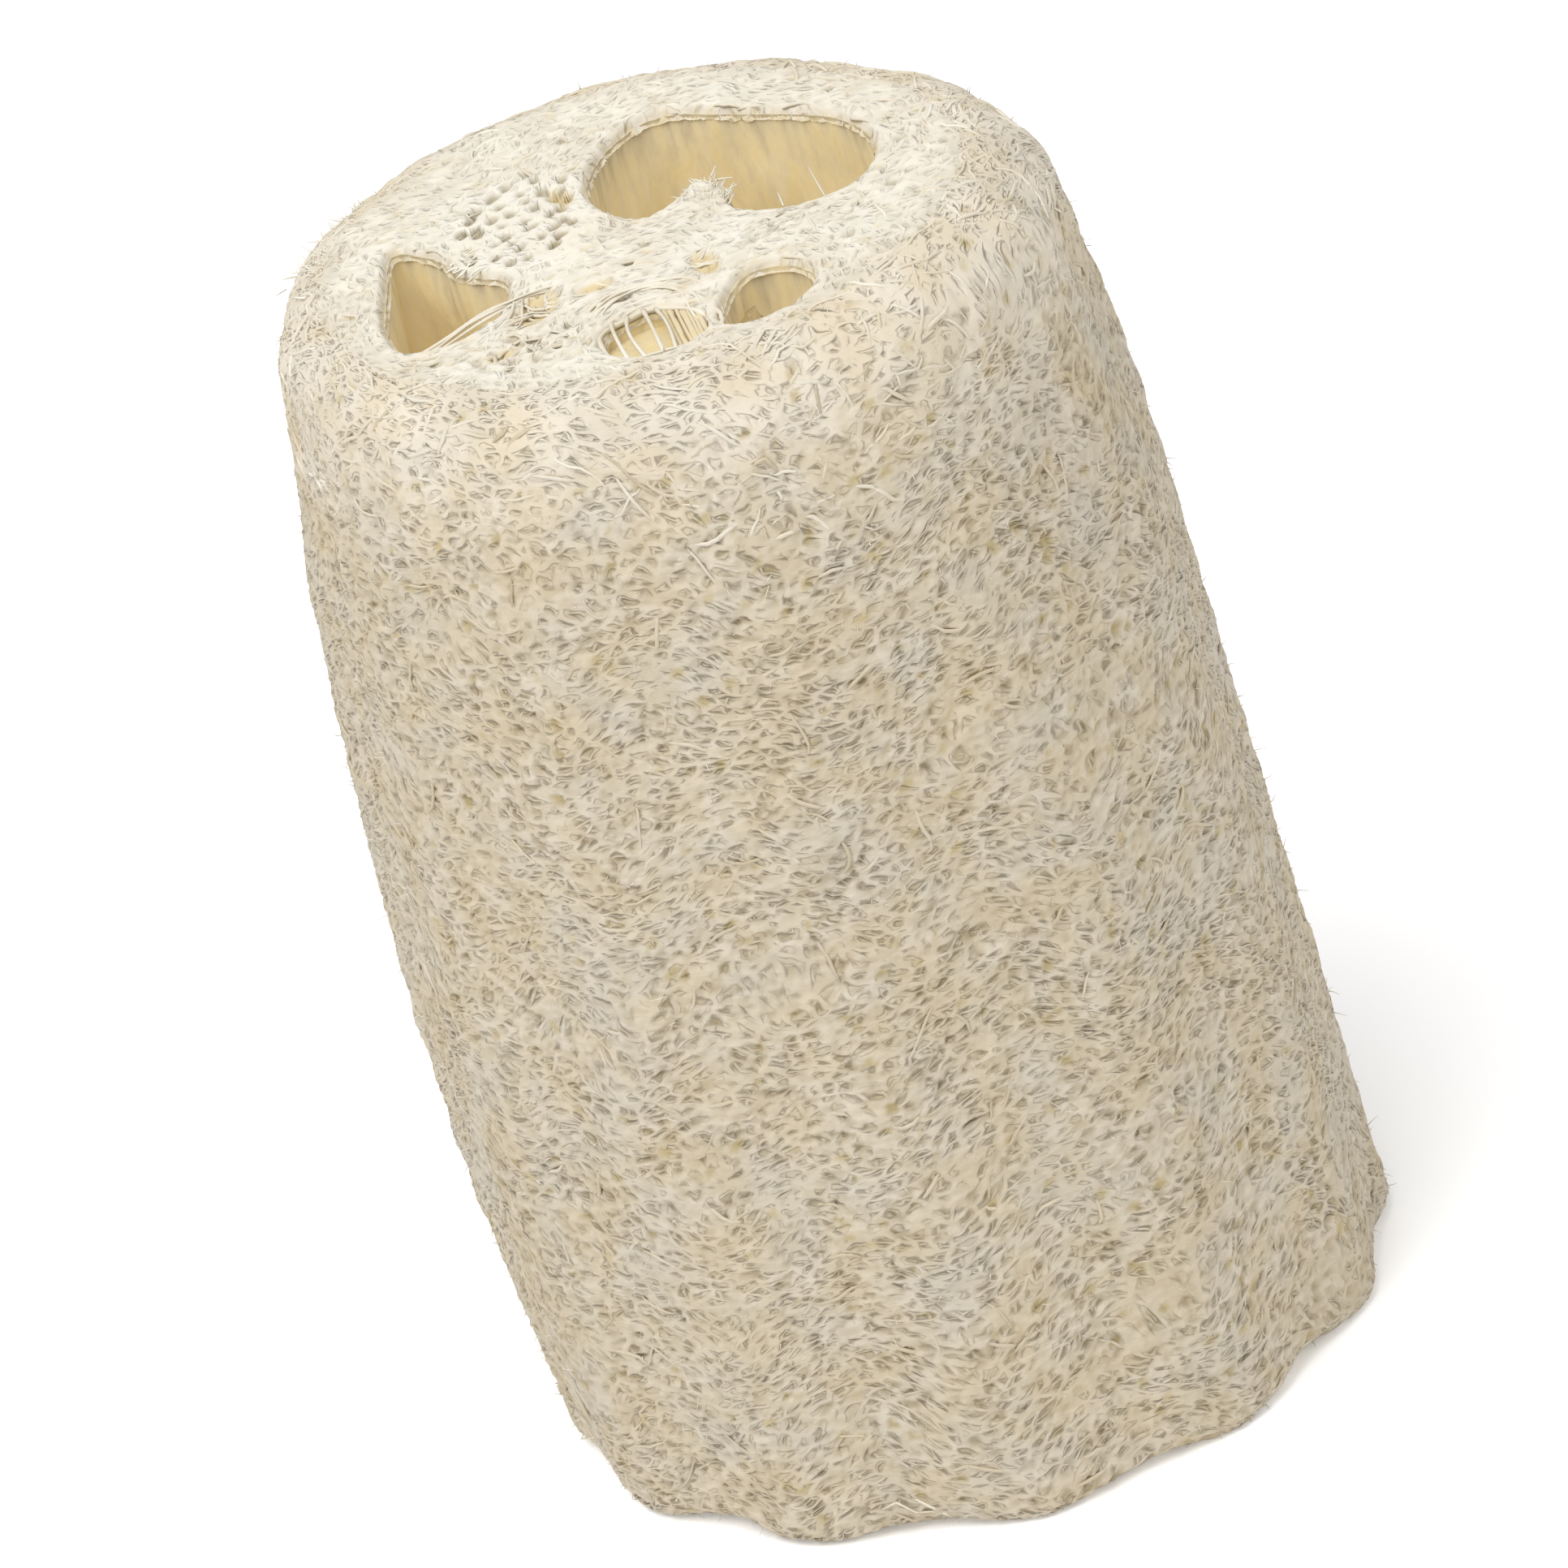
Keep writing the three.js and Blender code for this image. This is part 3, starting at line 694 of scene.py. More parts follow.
def matBody():
    # Rings of corners from the middle of the base, round the foot, up the side, over the rim
    # and to the middle of the upper cut. Every corner moves along the wall's outward direction.
    inner = wallRadius(np.array([0.0]), np.array([0.0]))[0] - mat["faceStart"]
    side = np.arange(-2, wallLength + 2.01, mat["sideStep"])
    shrink = np.linspace(1, 0, round(inner / mat["faceStep"]), endpoint=False)[1:]
    angle = fullTurn * np.arange(mat["columns"]) / mat["columns"]
    a, level = np.meshgrid(angle, side, indexing="xy")
    places, outward = wallPlace(a, level, 0.0)
    sideSeed, faceSeed = mat["seeds"]
    sideWave, faceWave = mat["roughLengths"]
    lift = mat["sideLift"] + mat["rough"] * waveNoise(places, sideWave, sideSeed)
    places = places + outward * lift[..., None]
    base, top = places[:1], places[-1:]
    baseMiddle = np.array([wall["baseLean"], 0, 0])
    lowRing = baseMiddle + (base - baseMiddle) * shrink[::-1, None, None]
    highRing = top * np.array([1, 1, 0]) * shrink[:, None, None]
    lowRing[..., 2] = 0
    rings = np.concatenate([lowRing, places, highRing])
    n, m = rings.shape[:2]
    isLow, isHigh = np.arange(n) < len(shrink), np.arange(n) >= n - len(shrink)
    bumps = mat["faceRough"] * mat["rough"] * waveNoise(rings, faceWave, faceSeed)
    rings[isLow, :, 2] = mat["baseRise"] + bumps[isLow]
    high = rings[isHigh]
    onWeb = 1 - smoothStep(webReach(high), *mat["webEdge"])
    onWeb = onWeb * smoothStep(readGrid(upperFlow["gap"], high), *mat["webGap"])
    sink = mat["faceDrop"] + mat["webDrop"] * onWeb + dipAt(high)
    rings[isHigh, :, 2] = faceHeight(high, True) + bumps[isHigh] - sink
    middles = [[wall["baseLean"], 0, mat["baseRise"]], [0, 0, wall["height"] - mat["faceDrop"]]]
    points = np.concatenate([rings.reshape(-1, 3), middles])
    quads, fans, starts, around = closedRings(n, m)
    corners = np.concatenate([quads, fans])
    # The side's part of the map is unrolled, and each face's part is seen from outside
    fanRow = np.repeat([0, n], 3 * m)
    faceOf = np.concatenate([np.repeat(np.arange(n - 1), m * 4), fanRow])[:, None]
    flat = points[corners, :2] / mat["faceWidth"] + 0.5
    around = np.concatenate([around, np.zeros(len(fans))])
    climb = (np.minimum(corners // m, n - 1) - len(shrink)) / (n - 2 * len(shrink))
    u, v, width, height = mat["sideMap"]
    uv = np.stack([u + width * around, v + height * climb], 1)
    u, v, size = mat["baseMap"]
    uv = np.where(faceOf < len(shrink), [u, v] + size * flat, uv)
    u, v, size = mat["topMap"]
    uv = np.where(faceOf >= n - len(shrink) - 1, [u, v] + size * flat, uv)
    # Gold in the dips, which on the mat also sets its painted glow there
    dip = np.where(points[:, 2] > mat["upperFrom"], dipAt(points), 0)
    shares = {"tint": np.full(len(points), mat["tint"]), "gold": smoothStep(dip, *mat["dipGold"])}
    return meshObject("fibreMat", points, corners, starts, uv, shares)


# The cuts that make the channels: lower and upper outline, from and to height, how far from
# the cut ends the gold is full, slot on the map as corner and size, seed
channels = {
    "columns": 200,
    "rows": 46,
    "crowding": 1.5,
    "shift": (0.6, 0.95),
    "streaks": (0.12, 1.8, 30),
    "rough": 0.06,
    "bulge": (0.25, 14),
    "calm": 8,
    "tint": (0.6, 0.1),
    "gold": 0.88,
    "goldSpread": 0.5,
    "baseReach": 6,
    "capScale": 0.002,
    "cuts": {
        "cutBack": (
            lowerMouths["back"], upperMouths["back"], (-4, 154), 5.5, (0.505, 0.505, 0.24, 0.24), 31,
        ),
        "cutLeft": (
            lowerMouths["left"], upperMouths["left"], (-4, 154), 5.5, (0.75, 0.505, 0.24, 0.24), 32,
        ),
        "cutFront": (
            lowerMouths["front"], frontUpper, (-4, 145), 5.5, (0.505, 0.755, 0.24, 0.24), 33,
        ),
        "cutMouth": (
            upperMouths["front"], upperMouths["front"], (143, 154), 5.5, (0.75, 0.755, 0.24, 0.12), 34,
        ),
        "cutRibbed": (
            upperMouths["ribbed"], upperMouths["ribbed"], (147.2, 154), 2.4,
            (0.75, 0.88, 0.24, 0.115), 35,
        ),
    },
}


def channelCutter(name, lower, upper, heights, goldReach, slot, seed):
    # A closed loft from the lower outline to the upper one, its wall finely ribbed. Rings
    # crowd towards the upper end, near which the outline changes over.
    count, rows = channels["columns"], channels["rows"]
    low, high = heights
    share = 1 - (1 - np.linspace(0, 1, rows)) ** channels["crowding"]
    z = low + (high - low) * share
    mix = smoothStep(share, *channels["shift"])[:, None, None]
    first, last = closedCurve(lower, count), closedCurve(upper, count)
    outline = first * (1 - mix) + last * mix
    tangent = unit(np.roll(outline, -1, 1) - np.roll(outline, 1, 1))
    outward = np.stack([tangent[..., 1], -tangent[..., 0]], -1)
    area = signedArea(first)
    outward = outward * np.sign(area)
    places = np.concatenate([outline, np.broadcast_to(z[:, None, None], (rows, count, 1))], -1)
    stretch, length, waves = channels["streaks"]
    streak = waveNoise(places * np.array([1, 1, stretch]), length, seed, waves)
    calm = smoothStep(wall["height"] - places[..., 2], 0, channels["calm"])
    bulge, length = channels["bulge"]
    rough = channels["rough"] * streak + bulge * calm * waveNoise(places, length, seed + 1)
    places[..., :2] += outward * rough[..., None]
    tint, streakTint = channels["tint"]
    tint = np.append(tint - streakTint * streak.ravel(), [tint, tint])
    middle = outline.mean(1)
    points = np.concatenate([places.reshape(-1, 3), [[*middle[0], low], [*middle[-1], high]]])
    quads, fans, starts, around = closedRings(rows, count)
    corners = np.concatenate([quads, fans])
    uv = np.stack([around, (quads // count) / (rows - 1)], 1)
    uv = np.concatenate([uv, points[fans, :2] * channels["capScale"] + 0.5])
    uv = np.array(slot[:2]) + uv * np.array(slot[2:])
    if area < 0:
        corners, uv = corners[::-1], uv[::-1]
        starts = len(corners) - np.concatenate([starts[1:], [len(corners)]])
        starts = starts[::-1]
    # Deep gold inside, fading to the cut ends' color within the last few millimetres. On the mat the
    # same share also sets its painted glow.
    depth = np.minimum(wall["height"] - points[:, 2], points[:, 2] + channels["baseReach"])
    reach = goldReach * (1 + channels["goldSpread"] * np.append(streak.ravel(), [0, 0]))
    gold = channels["gold"] * smoothStep(depth, -1.0, np.maximum(reach, 1.0))
    return meshObject(name, points, corners, starts, uv, {"tint": tint, "gold": gold})


body = matBody()
cutters = [channelCutter(name, *cut) for name, cut in channels["cuts"].items()]
for cutter in cutters:
    cut = body.modifiers.new("cut", "BOOLEAN")
    cut.operation, cut.solver, cut.object = "DIFFERENCE", "MANIFOLD", cutter
bpy.context.view_layer.update()
evaluated = body.evaluated_get(bpy.context.evaluated_depsgraph_get())
cutMesh = bpy.data.meshes.new_from_object(evaluated)
body.modifiers.clear()
body.data = cutMesh
for cutter in cutters:
    bpy.data.objects.remove(cutter)
cutMesh.shade_smooth()
cutMesh.set_sharp_from_angle(angle=math.radians(50))
finishPiece(body, mat["look"])


def keptInside(lines, field, clear):
    # Pushes points that hang into a mouth back over its edge, along the way the gap grows
    gap = readGrid(field["gap"], lines)
    slope = np.zeros((*gap.shape, 3))
    for axis in range(2):
        step = np.zeros(3)
        step[axis] = 0.5
        slope[..., axis] = readGrid(field["gap"], lines + step) - readGrid(field["gap"], lines - step)
    return lines + unit(slope) * np.maximum(clear - gap, 0)[..., None]


# The felted skin of the wall and of the upper cut. Pits lie inside stretched cells, and finer,
# longer cells give the strands between them.
felt = {
    "columns": 504,
    "rowStep": 0.62,
    "lift": -0.12,
    "around": 50,
    "pits": {"pitch": 1.8, "stretch": 1.3, "rows": 110, "seed": 41},
    "strands": {"pitch": 2.1, "stretch": 1.6, "rows": 100, "seed": 42},
    "pitEdge": (0.25, 1.2),
    "pitDepth": (0.04, 0.5),
    "pitPower": 1.3,
    "strandTurn": 0.35,
    "strandEdge": (0.1, 0.9),
    "strandRise": 0.18,
    "strandInPit": 0.6,
    "pitShadeShares": (0.35, 0.65, 0.25),
    "turns": [(0.42, 40, 43), (0.3, 15, 44)],
    "swell": (0.1, 8, 45),
    "topFrom": (126, 150),
    "topCalm": 0.4,
    "tuck": (0.8, 1.5),
    # Tint from the wall up to the cut end: partly paler fibres there, partly painted light on the
    # upward shoulder
    "tint": (0.40, 0.92),
    "pitShade": 0.36,
    "goldCells": 0.92,
    "gold": 0.7,
    "bends": [(2.6, 40, 46), (0.9, 15, 47)],
    "across": 1.9,
    "bands": [("feltLow", -2.0, 79.0), ("feltHigh", 79.0, wallLength + 1.0)],
    "ends": (-3.5, wallLength + 1.0),
    "look": {
        **strandLook,
        "dull": (0.30, 0.235, 0.135),
        "pale": (0.655, 0.59, 0.482),
        "patch": (0.50, 0.395, 0.22),
        "gold": (0.42, 0.33, 0.14),
        "cool": (0.50, 0.475, 0.415),
        "coolScale": 90.0,
        "coolShare": 0.3,
        "coolShift": 3.1,
        "patchScale": 150.0,
        "patchShare": 0.32,
        "grainScale": 1100.0,
        "grainShare": 0.12,
        "bump": 1.0,
        "bumpDepth": 0.0005,
        "swayScale": 0.35,
        "sway": 2.4,
        "net": [(0.38, 0.0, 0.1, 0.4, 1.0), (0.48, 31.0, 0.06, 0.28, 0.7)],
        "netShade": 0.46,
    },
}
# The upper cut's skin, paler than the wall's: partly the cut's own colour, partly painted light on the
# upward face
faceSkin = {
    "half": 42,
    "step": 0.34,
    "keepGap": -1.4,
    "keepPast": 2.5,
    "edgeGap": -0.3,
    "around": 60,
    "calm": (0.5, 0.75),
    "webEdge": (0.85, 1.15),
    "hole": (0.6, 0.5),
    "lip": 1.7,
    "lipGap": (-0.15, 1.2),
    "tuck": 0.8,
    "tuckPast": (0.5, 2.0),
    "tint": 0.74,
    "pitShade": 0.22,
    "webTint": 0.45,
    "holeShade": (0.6, 1.3),
    "rimShade": 0.2,
    "rimPast": (-3, 1.5),
    "ragged": (0.25, 2.0, 49),
    "raggedGap": (-0.2, 0.45),
    "gold": (0.4, 0.7),
    "dipGold": (0.1, 0.7),
    "bend": (15, 48),
    "across": 1.6,
    "look": {
        **felt["look"],
        "dull": (0.34, 0.29, 0.19),
        "pale": (0.725, 0.68, 0.585),
        "patch": (0.58, 0.50, 0.36),
        "gold": (0.60, 0.485, 0.27),
        "cool": (0.70, 0.69, 0.64),
        "coolShare": 0.2,
        "patchShare": 0.25,
        "bumpDepth": 0.0003,
        "netShade": 0.3,
    },
}

# Finishes of the single fibres, without the drawn strands and grey patches
plainFelt = {key: value for key, value in felt["look"].items() if key not in ("net", "cool")}
plainFelt = {**plainFelt, "dull": (0.43, 0.37, 0.265), "bump": 0.2, "bumpDepth": 0.0002}
paleFelt = {**plainFelt, "dull": (0.58, 0.53, 0.43), "pale": (0.74, 0.70, 0.61)}


def cellPattern(u, v, way, cells, reach):
    # Cells round shaken lattice points: how much further the second nearest point is than the
    # nearest, and two random shares of the nearest. Distances along the fibres' way count for
    # less. Columns of the lattice repeat after the reach.
    columns = round(reach / cells["pitch"])
    pitch = reach / columns
    table = np.random.default_rng(cells["seed"]).uniform(0, 1, (cells["rows"], columns, 4))
    c, s = np.cos(way), np.sin(way)
    column, row = np.floor(u / pitch).astype(int), np.floor(v / pitch).astype(int)
    nearest, second = np.full(u.shape, 99.0), np.full(u.shape, 99.0)
    shares = np.zeros((*u.shape, 2))
    for i in range(-2, 3):
        for j in range(-2, 3):
            point = table[(row + j) % cells["rows"], (column + i) % columns]
            du = (column + i + point[..., 0]) * pitch - u
            dv = (row + j + point[..., 1]) * pitch - v
            along = (du * c + dv * s) / cells["stretch"]
            distance = np.hypot(along, (dv * c - du * s) * cells["stretch"])
            isNearest = distance < nearest
            second = np.where(isNearest, nearest, np.minimum(second, distance))
            shares = np.where(isNearest[..., None], point[..., 2:], shares)
            nearest = np.minimum(nearest, distance)
    return second - nearest, shares


def feltRelief(u, v, way, reach, calm):
    # Height of the skin and how deep in a pit each place is, which darkens its color as painted
    # shade and partly as the tan of deeper fibres, less on the strands: ridges along the cells'
    # edges, pits of random depth inside them, and long low strands over both
    edge, shares = cellPattern(u, v, way, felt["pits"], reach)
    low, high = felt["pitDepth"]
    inPit = smoothStep(edge, *felt["pitEdge"])
    depth = low + (high - low) * shares[..., 0] ** felt["pitPower"]
    edge = cellPattern(u, v, way + felt["strandTurn"], felt["strands"], reach)[0]
    strand = 1 - smoothStep(edge, *felt["strandEdge"])
    height = felt["strandRise"] * strand * (1 - felt["strandInPit"] * inPit) - inPit * depth
    least, rise, lighter = felt["pitShadeShares"]
    pit = inPit * (least + rise * shares[..., 0]) - lighter * strand
    golden = np.where(shares[..., 1] > felt["goldCells"], inPit, 0)
    return height * calm, pit * calm, golden


def sideFelt(name, low, high):
    # A band of the wall's skin between two levels. Near the two ends of the whole skin it
    # turns in under the next skin.
    angle = fullTurn * np.arange(felt["columns"]) / felt["columns"]
    steps = round((high - low) / felt["rowStep"])
    a, level = np.meshgrid(angle, np.linspace(low, high, steps + 1))
    ground = wallPlace(a, level)[0]
    way = sum(size * waveNoise(ground, length, seed) for size, length, seed in felt["turns"])
    toTop = smoothStep(ground[..., 2], *felt["topFrom"])
    around = felt["around"]
    calm = 1 - felt["topCalm"] * toTop
    height, pit, golden = feltRelief(a * around, level, way, around * fullTurn, calm)
    size, length, seed = felt["swell"]
    height = height + felt["lift"] + size * waveNoise(ground, length, seed)
    sink, reach = felt["tuck"]
    first, last = felt["ends"]
    tucked = smoothStep(level, last - reach, last) + 1 - smoothStep(level, first, first + reach)
    places = wallPlace(a, level, height - sink * tucked)[0]
    places[..., 2] = np.maximum(places[..., 2], 0.01)
    # Paler towards the cut end: partly the paler fibres there, partly painted light on the upward
    # shoulder. Pits get painted shade.
    dark, pale = felt["tint"]
    tint = dark + (pale - dark) * toTop - felt["pitShade"] * pit
    rows, columns = a.shape
    i, j, quads = ringFaces(rows, columns)
    u = lambda j: 0.002 + 0.996 * j / columns
    v = lambda i: 0.002 + 0.996 * i / (rows - 1)
    uv = np.stack([
        np.stack([u(j), v(i)], -1), np.stack([u(j + 1), v(i)], -1),
        np.stack([u(j + 1), v(i + 1)], -1), np.stack([u(j), v(i + 1)], -1),
    ], -2).reshape(-1, 2)
    bent = level + sum(size * waveNoise(ground, length, seed) for size, length, seed in felt["bends"])
    course = np.stack([around * np.cos(a), around * np.sin(a), felt["across"] * bent], -1)
    gold = felt["gold"] * golden.ravel()
    attributes = {"tint": tint.ravel(), "gold": gold, "course": course.reshape(-1, 3)}
    starts = np.arange(len(quads)) * 4
    return meshObject(name, places.reshape(-1, 3), quads.ravel(), starts, uv, attributes)


def poreDepth(places):
    # How deep the small holes are at a place of the upper cut, from 0 to 1
    depth = np.zeros(places.shape[:-1])
    for pore in pores:
        depth = np.maximum(depth, 1 - smoothStep(ovalReach(places, *pore), *poreForm["edge"]))
    return depth


def faceFelt():
    # The skin of the upper cut on a square grid, without the mouths. It rounds off into each
    # mouth, sinks in the dips and small holes, and its outer edge lies under the wall's skin.
    half = faceSkin["half"]
    axis = np.arange(-half, half + 0.01, faceSkin["step"])
    x, y = np.meshgrid(axis, axis, indexing="ij")
    spots = np.stack([x, y, np.zeros_like(x)], -1)
    angle = np.arctan2(y, x)
    rim = wall["topRim"] + wall["topRimLean"] * np.cos(angle)
    past = np.hypot(x, y) - wallRadius(angle, np.full_like(x, wall["height"])) + rim
    firstGap = readGrid(upperFlow["gap"], spots)
    keep = (firstGap > faceSkin["keepGap"]) & (past < faceSkin["keepPast"])
    spots = keptInside(spots, upperFlow, faceSkin["edgeGap"])
    gap = readGrid(upperFlow["gap"], spots)
    way = 0.5 * np.arctan2(readGrid(upperFlow["y"], spots), readGrid(upperFlow["x"], spots))
    onWeb = 1 - smoothStep(webReach(spots), *faceSkin["webEdge"])
    around, (calm, webCalm) = faceSkin["around"], faceSkin["calm"]
    calm = calm * (1 - webCalm * onWeb)
    height, pit, golden = feltRelief(x + around, y + around, way, 2 * around, calm)
    hole, dip = poreDepth(spots), dipAt(spots)
    plain, extra = faceSkin["hole"]
    z = faceHeight(spots, True) + height - (plain + extra * onWeb) * hole - dip
    z = z - faceSkin["lip"] * (1 - smoothStep(gap, *faceSkin["lipGap"])) ** 2
    z = z - faceSkin["tuck"] * smoothStep(past, *faceSkin["tuckPast"])
    plain, extra = faceSkin["holeShade"]
    # Paler than the wall's skin, partly its own colour and partly painted light on the upward face;
    # pits, holes and the outer rim get painted shade
    tint = faceSkin["tint"] - faceSkin["pitShade"] * pit + faceSkin["webTint"] * onWeb
    tint = tint - (plain + extra * onWeb) * hole
    tint = tint - faceSkin["rimShade"] * smoothStep(past, *faceSkin["rimPast"])
    size, length, seed = faceSkin["ragged"]
    ragged = 1 - smoothStep(gap + size * waveNoise(spots, length, seed), *faceSkin["raggedGap"])
    pitGold, edgeGold = faceSkin["gold"]
    inDip = smoothStep(dip, *faceSkin["dipGold"])
    golden = np.maximum.reduce([pitGold * golden * (1 - onWeb), inDip, edgeGold * ragged])
    number = np.where(keep, np.cumsum(keep.ravel()).reshape(keep.shape) - 1, -1)
    cells = lambda grid: np.stack([grid[:-1, :-1], grid[1:, :-1], grid[1:, 1:], grid[:-1, 1:]], -1)
    quads = cells(number).reshape(-1, 4)
    beyond = cells(firstGap < faceSkin["edgeGap"]).reshape(-1, 4).all(1)
    quads = quads[(quads >= 0).all(1) & ~beyond]
    points = np.concatenate([spots[..., :2], z[..., None]], -1)[keep]
    used = np.unique(quads)
    renumber = np.zeros(len(points), int)
    renumber[used] = np.arange(len(used))
    corners = renumber[quads.ravel()]
    points = points[used]
    uv = 0.5 + 0.98 * points[corners, :2] / (2 * half)
    across = faceSkin["across"] * (gap + waveNoise(spots, *faceSkin["bend"]))
    course = np.concatenate([spots[..., :2], across[..., None]], -1)
    attributes = {"tint": tint, "gold": golden, "course": course}
    attributes = {key: values[keep][used] for key, values in attributes.items()}
    return meshObject("faceFelt", points, corners, np.arange(len(quads)) * 4, uv, attributes)


for name, low, high in felt["bands"]:
    finishPiece(sideFelt(name, low, high), felt["look"])
finishPiece(faceFelt(), faceSkin["look"])


def aboveFloor(places, radii):
    # Lines lifted where their strands would reach below the floor
    places = places.copy()
    places[..., 2] = np.maximum(places[..., 2], radii + 0.02)
    return places


def carried(angle, level, drift):
    # Moves a level up or down the wall by slow waves, which die out at the two cut ends
    place = wallPlace(angle, level)[0]
    hold = smoothStep(level, -1, 14) * (1 - smoothStep(level, wallLength - 14, wallLength + 1))
    for size, length, seed in drift:
        level = level + hold * size * waveNoise(place, length, seed)
    return level


def fibreForm(draw, fibres, count):
    # Lift, radius and tint of fibres that arch up from the skin, and thin out and dive into it
    # at both ends
    arch = np.sin(math.pi * np.linspace(0, 1, fibres["points"])) ** 0.6
    lift = draw.uniform(*fibres["lift"], (count, 1)) * arch - fibres["dive"] * (1 - arch)
    radii = draw.uniform(*fibres["radius"], (count, 1)) * (0.45 + 0.55 * arch)
    tint = np.clip(draw.normal(*fibres["tint"], (count, 1)), 0, 1)
    return lift, radii, tint


def wanderLines(fibres):
    # Loose fibres on the wall: each starts anywhere, runs round the wall with its own slant,
    # bends at random, and dives into the skin at both ends
    draw = np.random.default_rng(fibres["seed"])
    count = fibres["count"]
    low, high = fibres["levels"]
    step = draw.uniform(*fibres["step"], (count, 1))
    slant = draw.normal(0, fibres["slant"], (count, 1))
    slant = slant + np.cumsum(draw.normal(0, fibres["bend"], (count, fibres["points"])), 1)
    run, climb = np.cumsum(step * np.cos(slant), 1), np.cumsum(step * np.sin(slant), 1)
    angle = draw.uniform(0, fullTurn, (count, 1)) + run / fibres["around"]
    level = low + (high - low) * draw.uniform(0, 1, (count, 1)) + climb
    level = carried(angle, level, fibres["drift"])
    lift, radii, tint = fibreForm(draw, fibres, count)
    places, outward = wallPlace(angle, level, lift)
    return places, outward, radii, tint


# Loose fibres on the wall, and paler ones on the rim, which keep out of the mouths and the
# small holes
looseFibres = {
    "count": 700, "points": 7, "levels": (2, 148), "around": 48, "step": (0.6, 1.3), "slant": 0.6,
    "bend": 0.25, "drift": [(2.3, 62, 201), (0.95, 23, 202), (0.3, 9, 203)], "lift": (-0.32, 0.0),
    "dive": 0.5, "radius": (0.16, 0.28), "tint": (0.45, 0.15), "seed": 61, "look": plainFelt,
}
rimFelt = {
    **looseFibres, "levels": (136, 166), "step": (0.7, 1.5), "slant": 0.5, "bend": 0.22,
    "lift": (-0.35, -0.02), "radius": (0.16, 0.3), "tint": (0.45, 0.2), "seed": 62, "look": paleFelt,
    "clear": 0.6, "clearFrom": wall["height"] - 6, "topFrom": wall["height"] - 2,
}
for name, fibres in (("looseFibres", looseFibres), ("rimFelt", rimFelt)):
    places, outward, radii, tint = wanderLines(fibres)
    places = aboveFloor(places, radii)
    if name == "rimFelt":
        gap = readGrid(upperFlow["gap"], places)
        keep = ((gap > fibres["clear"]) | (places[..., 2] < fibres["clearFrom"])).all(1)
        onTop = places[..., 2:] > fibres["topFrom"]
        places = np.where(onTop, awayFromPores(places.copy()), places)
        places, outward, radii, tint = places[keep], outward[keep], radii[keep], tint[keep]
    finishPiece(tubes(name, places, outward, radii, tint, sides=5), fibres["look"])


def faceLines(fibres, field, upper):
    # Fibres of a cut face: each follows the face's flow with its own slant, and is dropped if
    # it would hang into a mouth or, on the upper cut, lie on the pale web
    draw = np.random.default_rng(fibres["seed"])
    count, n = fibres["count"], fibres["points"]
    r = fibres["reach"] * np.sqrt(draw.uniform(0, 1, count))
    turn = draw.uniform(0, fullTurn, count)
    spot = np.stack([r * np.cos(turn), r * np.sin(turn)], 1)
    if not upper:
        spot[:, 0] += wall["baseLean"]
    slant = draw.normal(0, fibres["slant"], count)
    step = draw.uniform(*fibres["step"], count)
    heading = draw.uniform(0, fullTurn, count)
    line = []
    for i in range(n):
        line.append(spot)
        way = 0.5 * np.arctan2(readGrid(field["y"], spot), readGrid(field["x"], spot))
        heading = np.where(np.cos(way - heading) < 0, way + math.pi, way)
        bent = heading + slant + draw.normal(0, fibres["bend"], count)
        spot = spot + step[:, None] * np.stack([np.cos(bent), np.sin(bent)], 1)
    line = np.stack(line, 1)
    keep = (readGrid(field["gap"], line) > fibres["clear"]).all(1)
    keep &= (np.hypot(line[..., 0], line[..., 1]) < fibres["limit"]).all(1)
    if upper:
        keep &= webReach(line[:, n // 2]) > draw.uniform(*fibres["webEdge"], len(line))
    line = line[keep]
    lift, radii, tint = fibreForm(draw, fibres, len(line))
    if upper:
        z = faceHeight(line, upper) + (lift - fibres["dip"] * dipAt(line))
    else:
        z = np.maximum(faceHeight(line, upper) - lift, fibres["floor"])
    places = np.concatenate([line, z[..., None]], -1)
    places = awayFromPores(places) if upper else places
    return places, np.array([0, 0, 1.0 if upper else -1.0]), radii, tint


# Fibres of the upper cut, more golden where they lie deep, and of the base
cutFibres = {
    "count": 800, "points": 7, "reach": 42, "limit": 49, "slant": 0.45, "bend": 0.24,
    "step": (0.6, 1.4), "clear": 0.1, "webEdge": (1.0, 1.25), "lift": (-0.35, 0.05), "dive": 0.5,
    "dip": 0.6, "radius": (0.16, 0.28), "tint": (0.7, 0.2), "gold": (4, 0.6, 0.5), "seed": 81,
    "look": paleFelt,
}
baseFibres = {
    "count": 2200, "points": 6, "reach": 47, "limit": 49, "slant": 0.55, "bend": 0.2,
    "step": (1.2, 2.4), "clear": 0.1, "lift": (-1.2, -0.3), "dive": 0.5, "floor": 0.32,
    "radius": (0.2, 0.32), "tint": (0.5, 0.25), "seed": 82, "look": strandLook,
}
places, ups, radii, tint = faceLines(cutFibres, upperFlow, True)
depth, most, share = cutFibres["gold"]
gold = np.clip((wall["height"] - places[..., 2]) / depth, 0, most) * share
finishPiece(tubes("cutFibres", places, ups, radii, tint, gold, sides=5), cutFibres["look"])
places, ups, radii, tint = faceLines(baseFibres, lowerFlow, False)
finishPiece(tubes("baseFibres", places, ups, radii, tint), baseFibres["look"])


# Cords round the ribbed mouth: distance outside its outline, height and radius of each
mouthCords = {
    "points": 120,
    "cords": [(0.4, -0.4, 0.34), (1.8, -0.35, 0.28)],
    "sink": 0.3,
    "edge": -0.05,
    "wave": (0.25, 7),
    "riseWave": (0.18, 9),
    "radiusWave": (0.2, 5),
    "tint": 0.8,
    "seed": 91,
    "look": paleFelt,
}


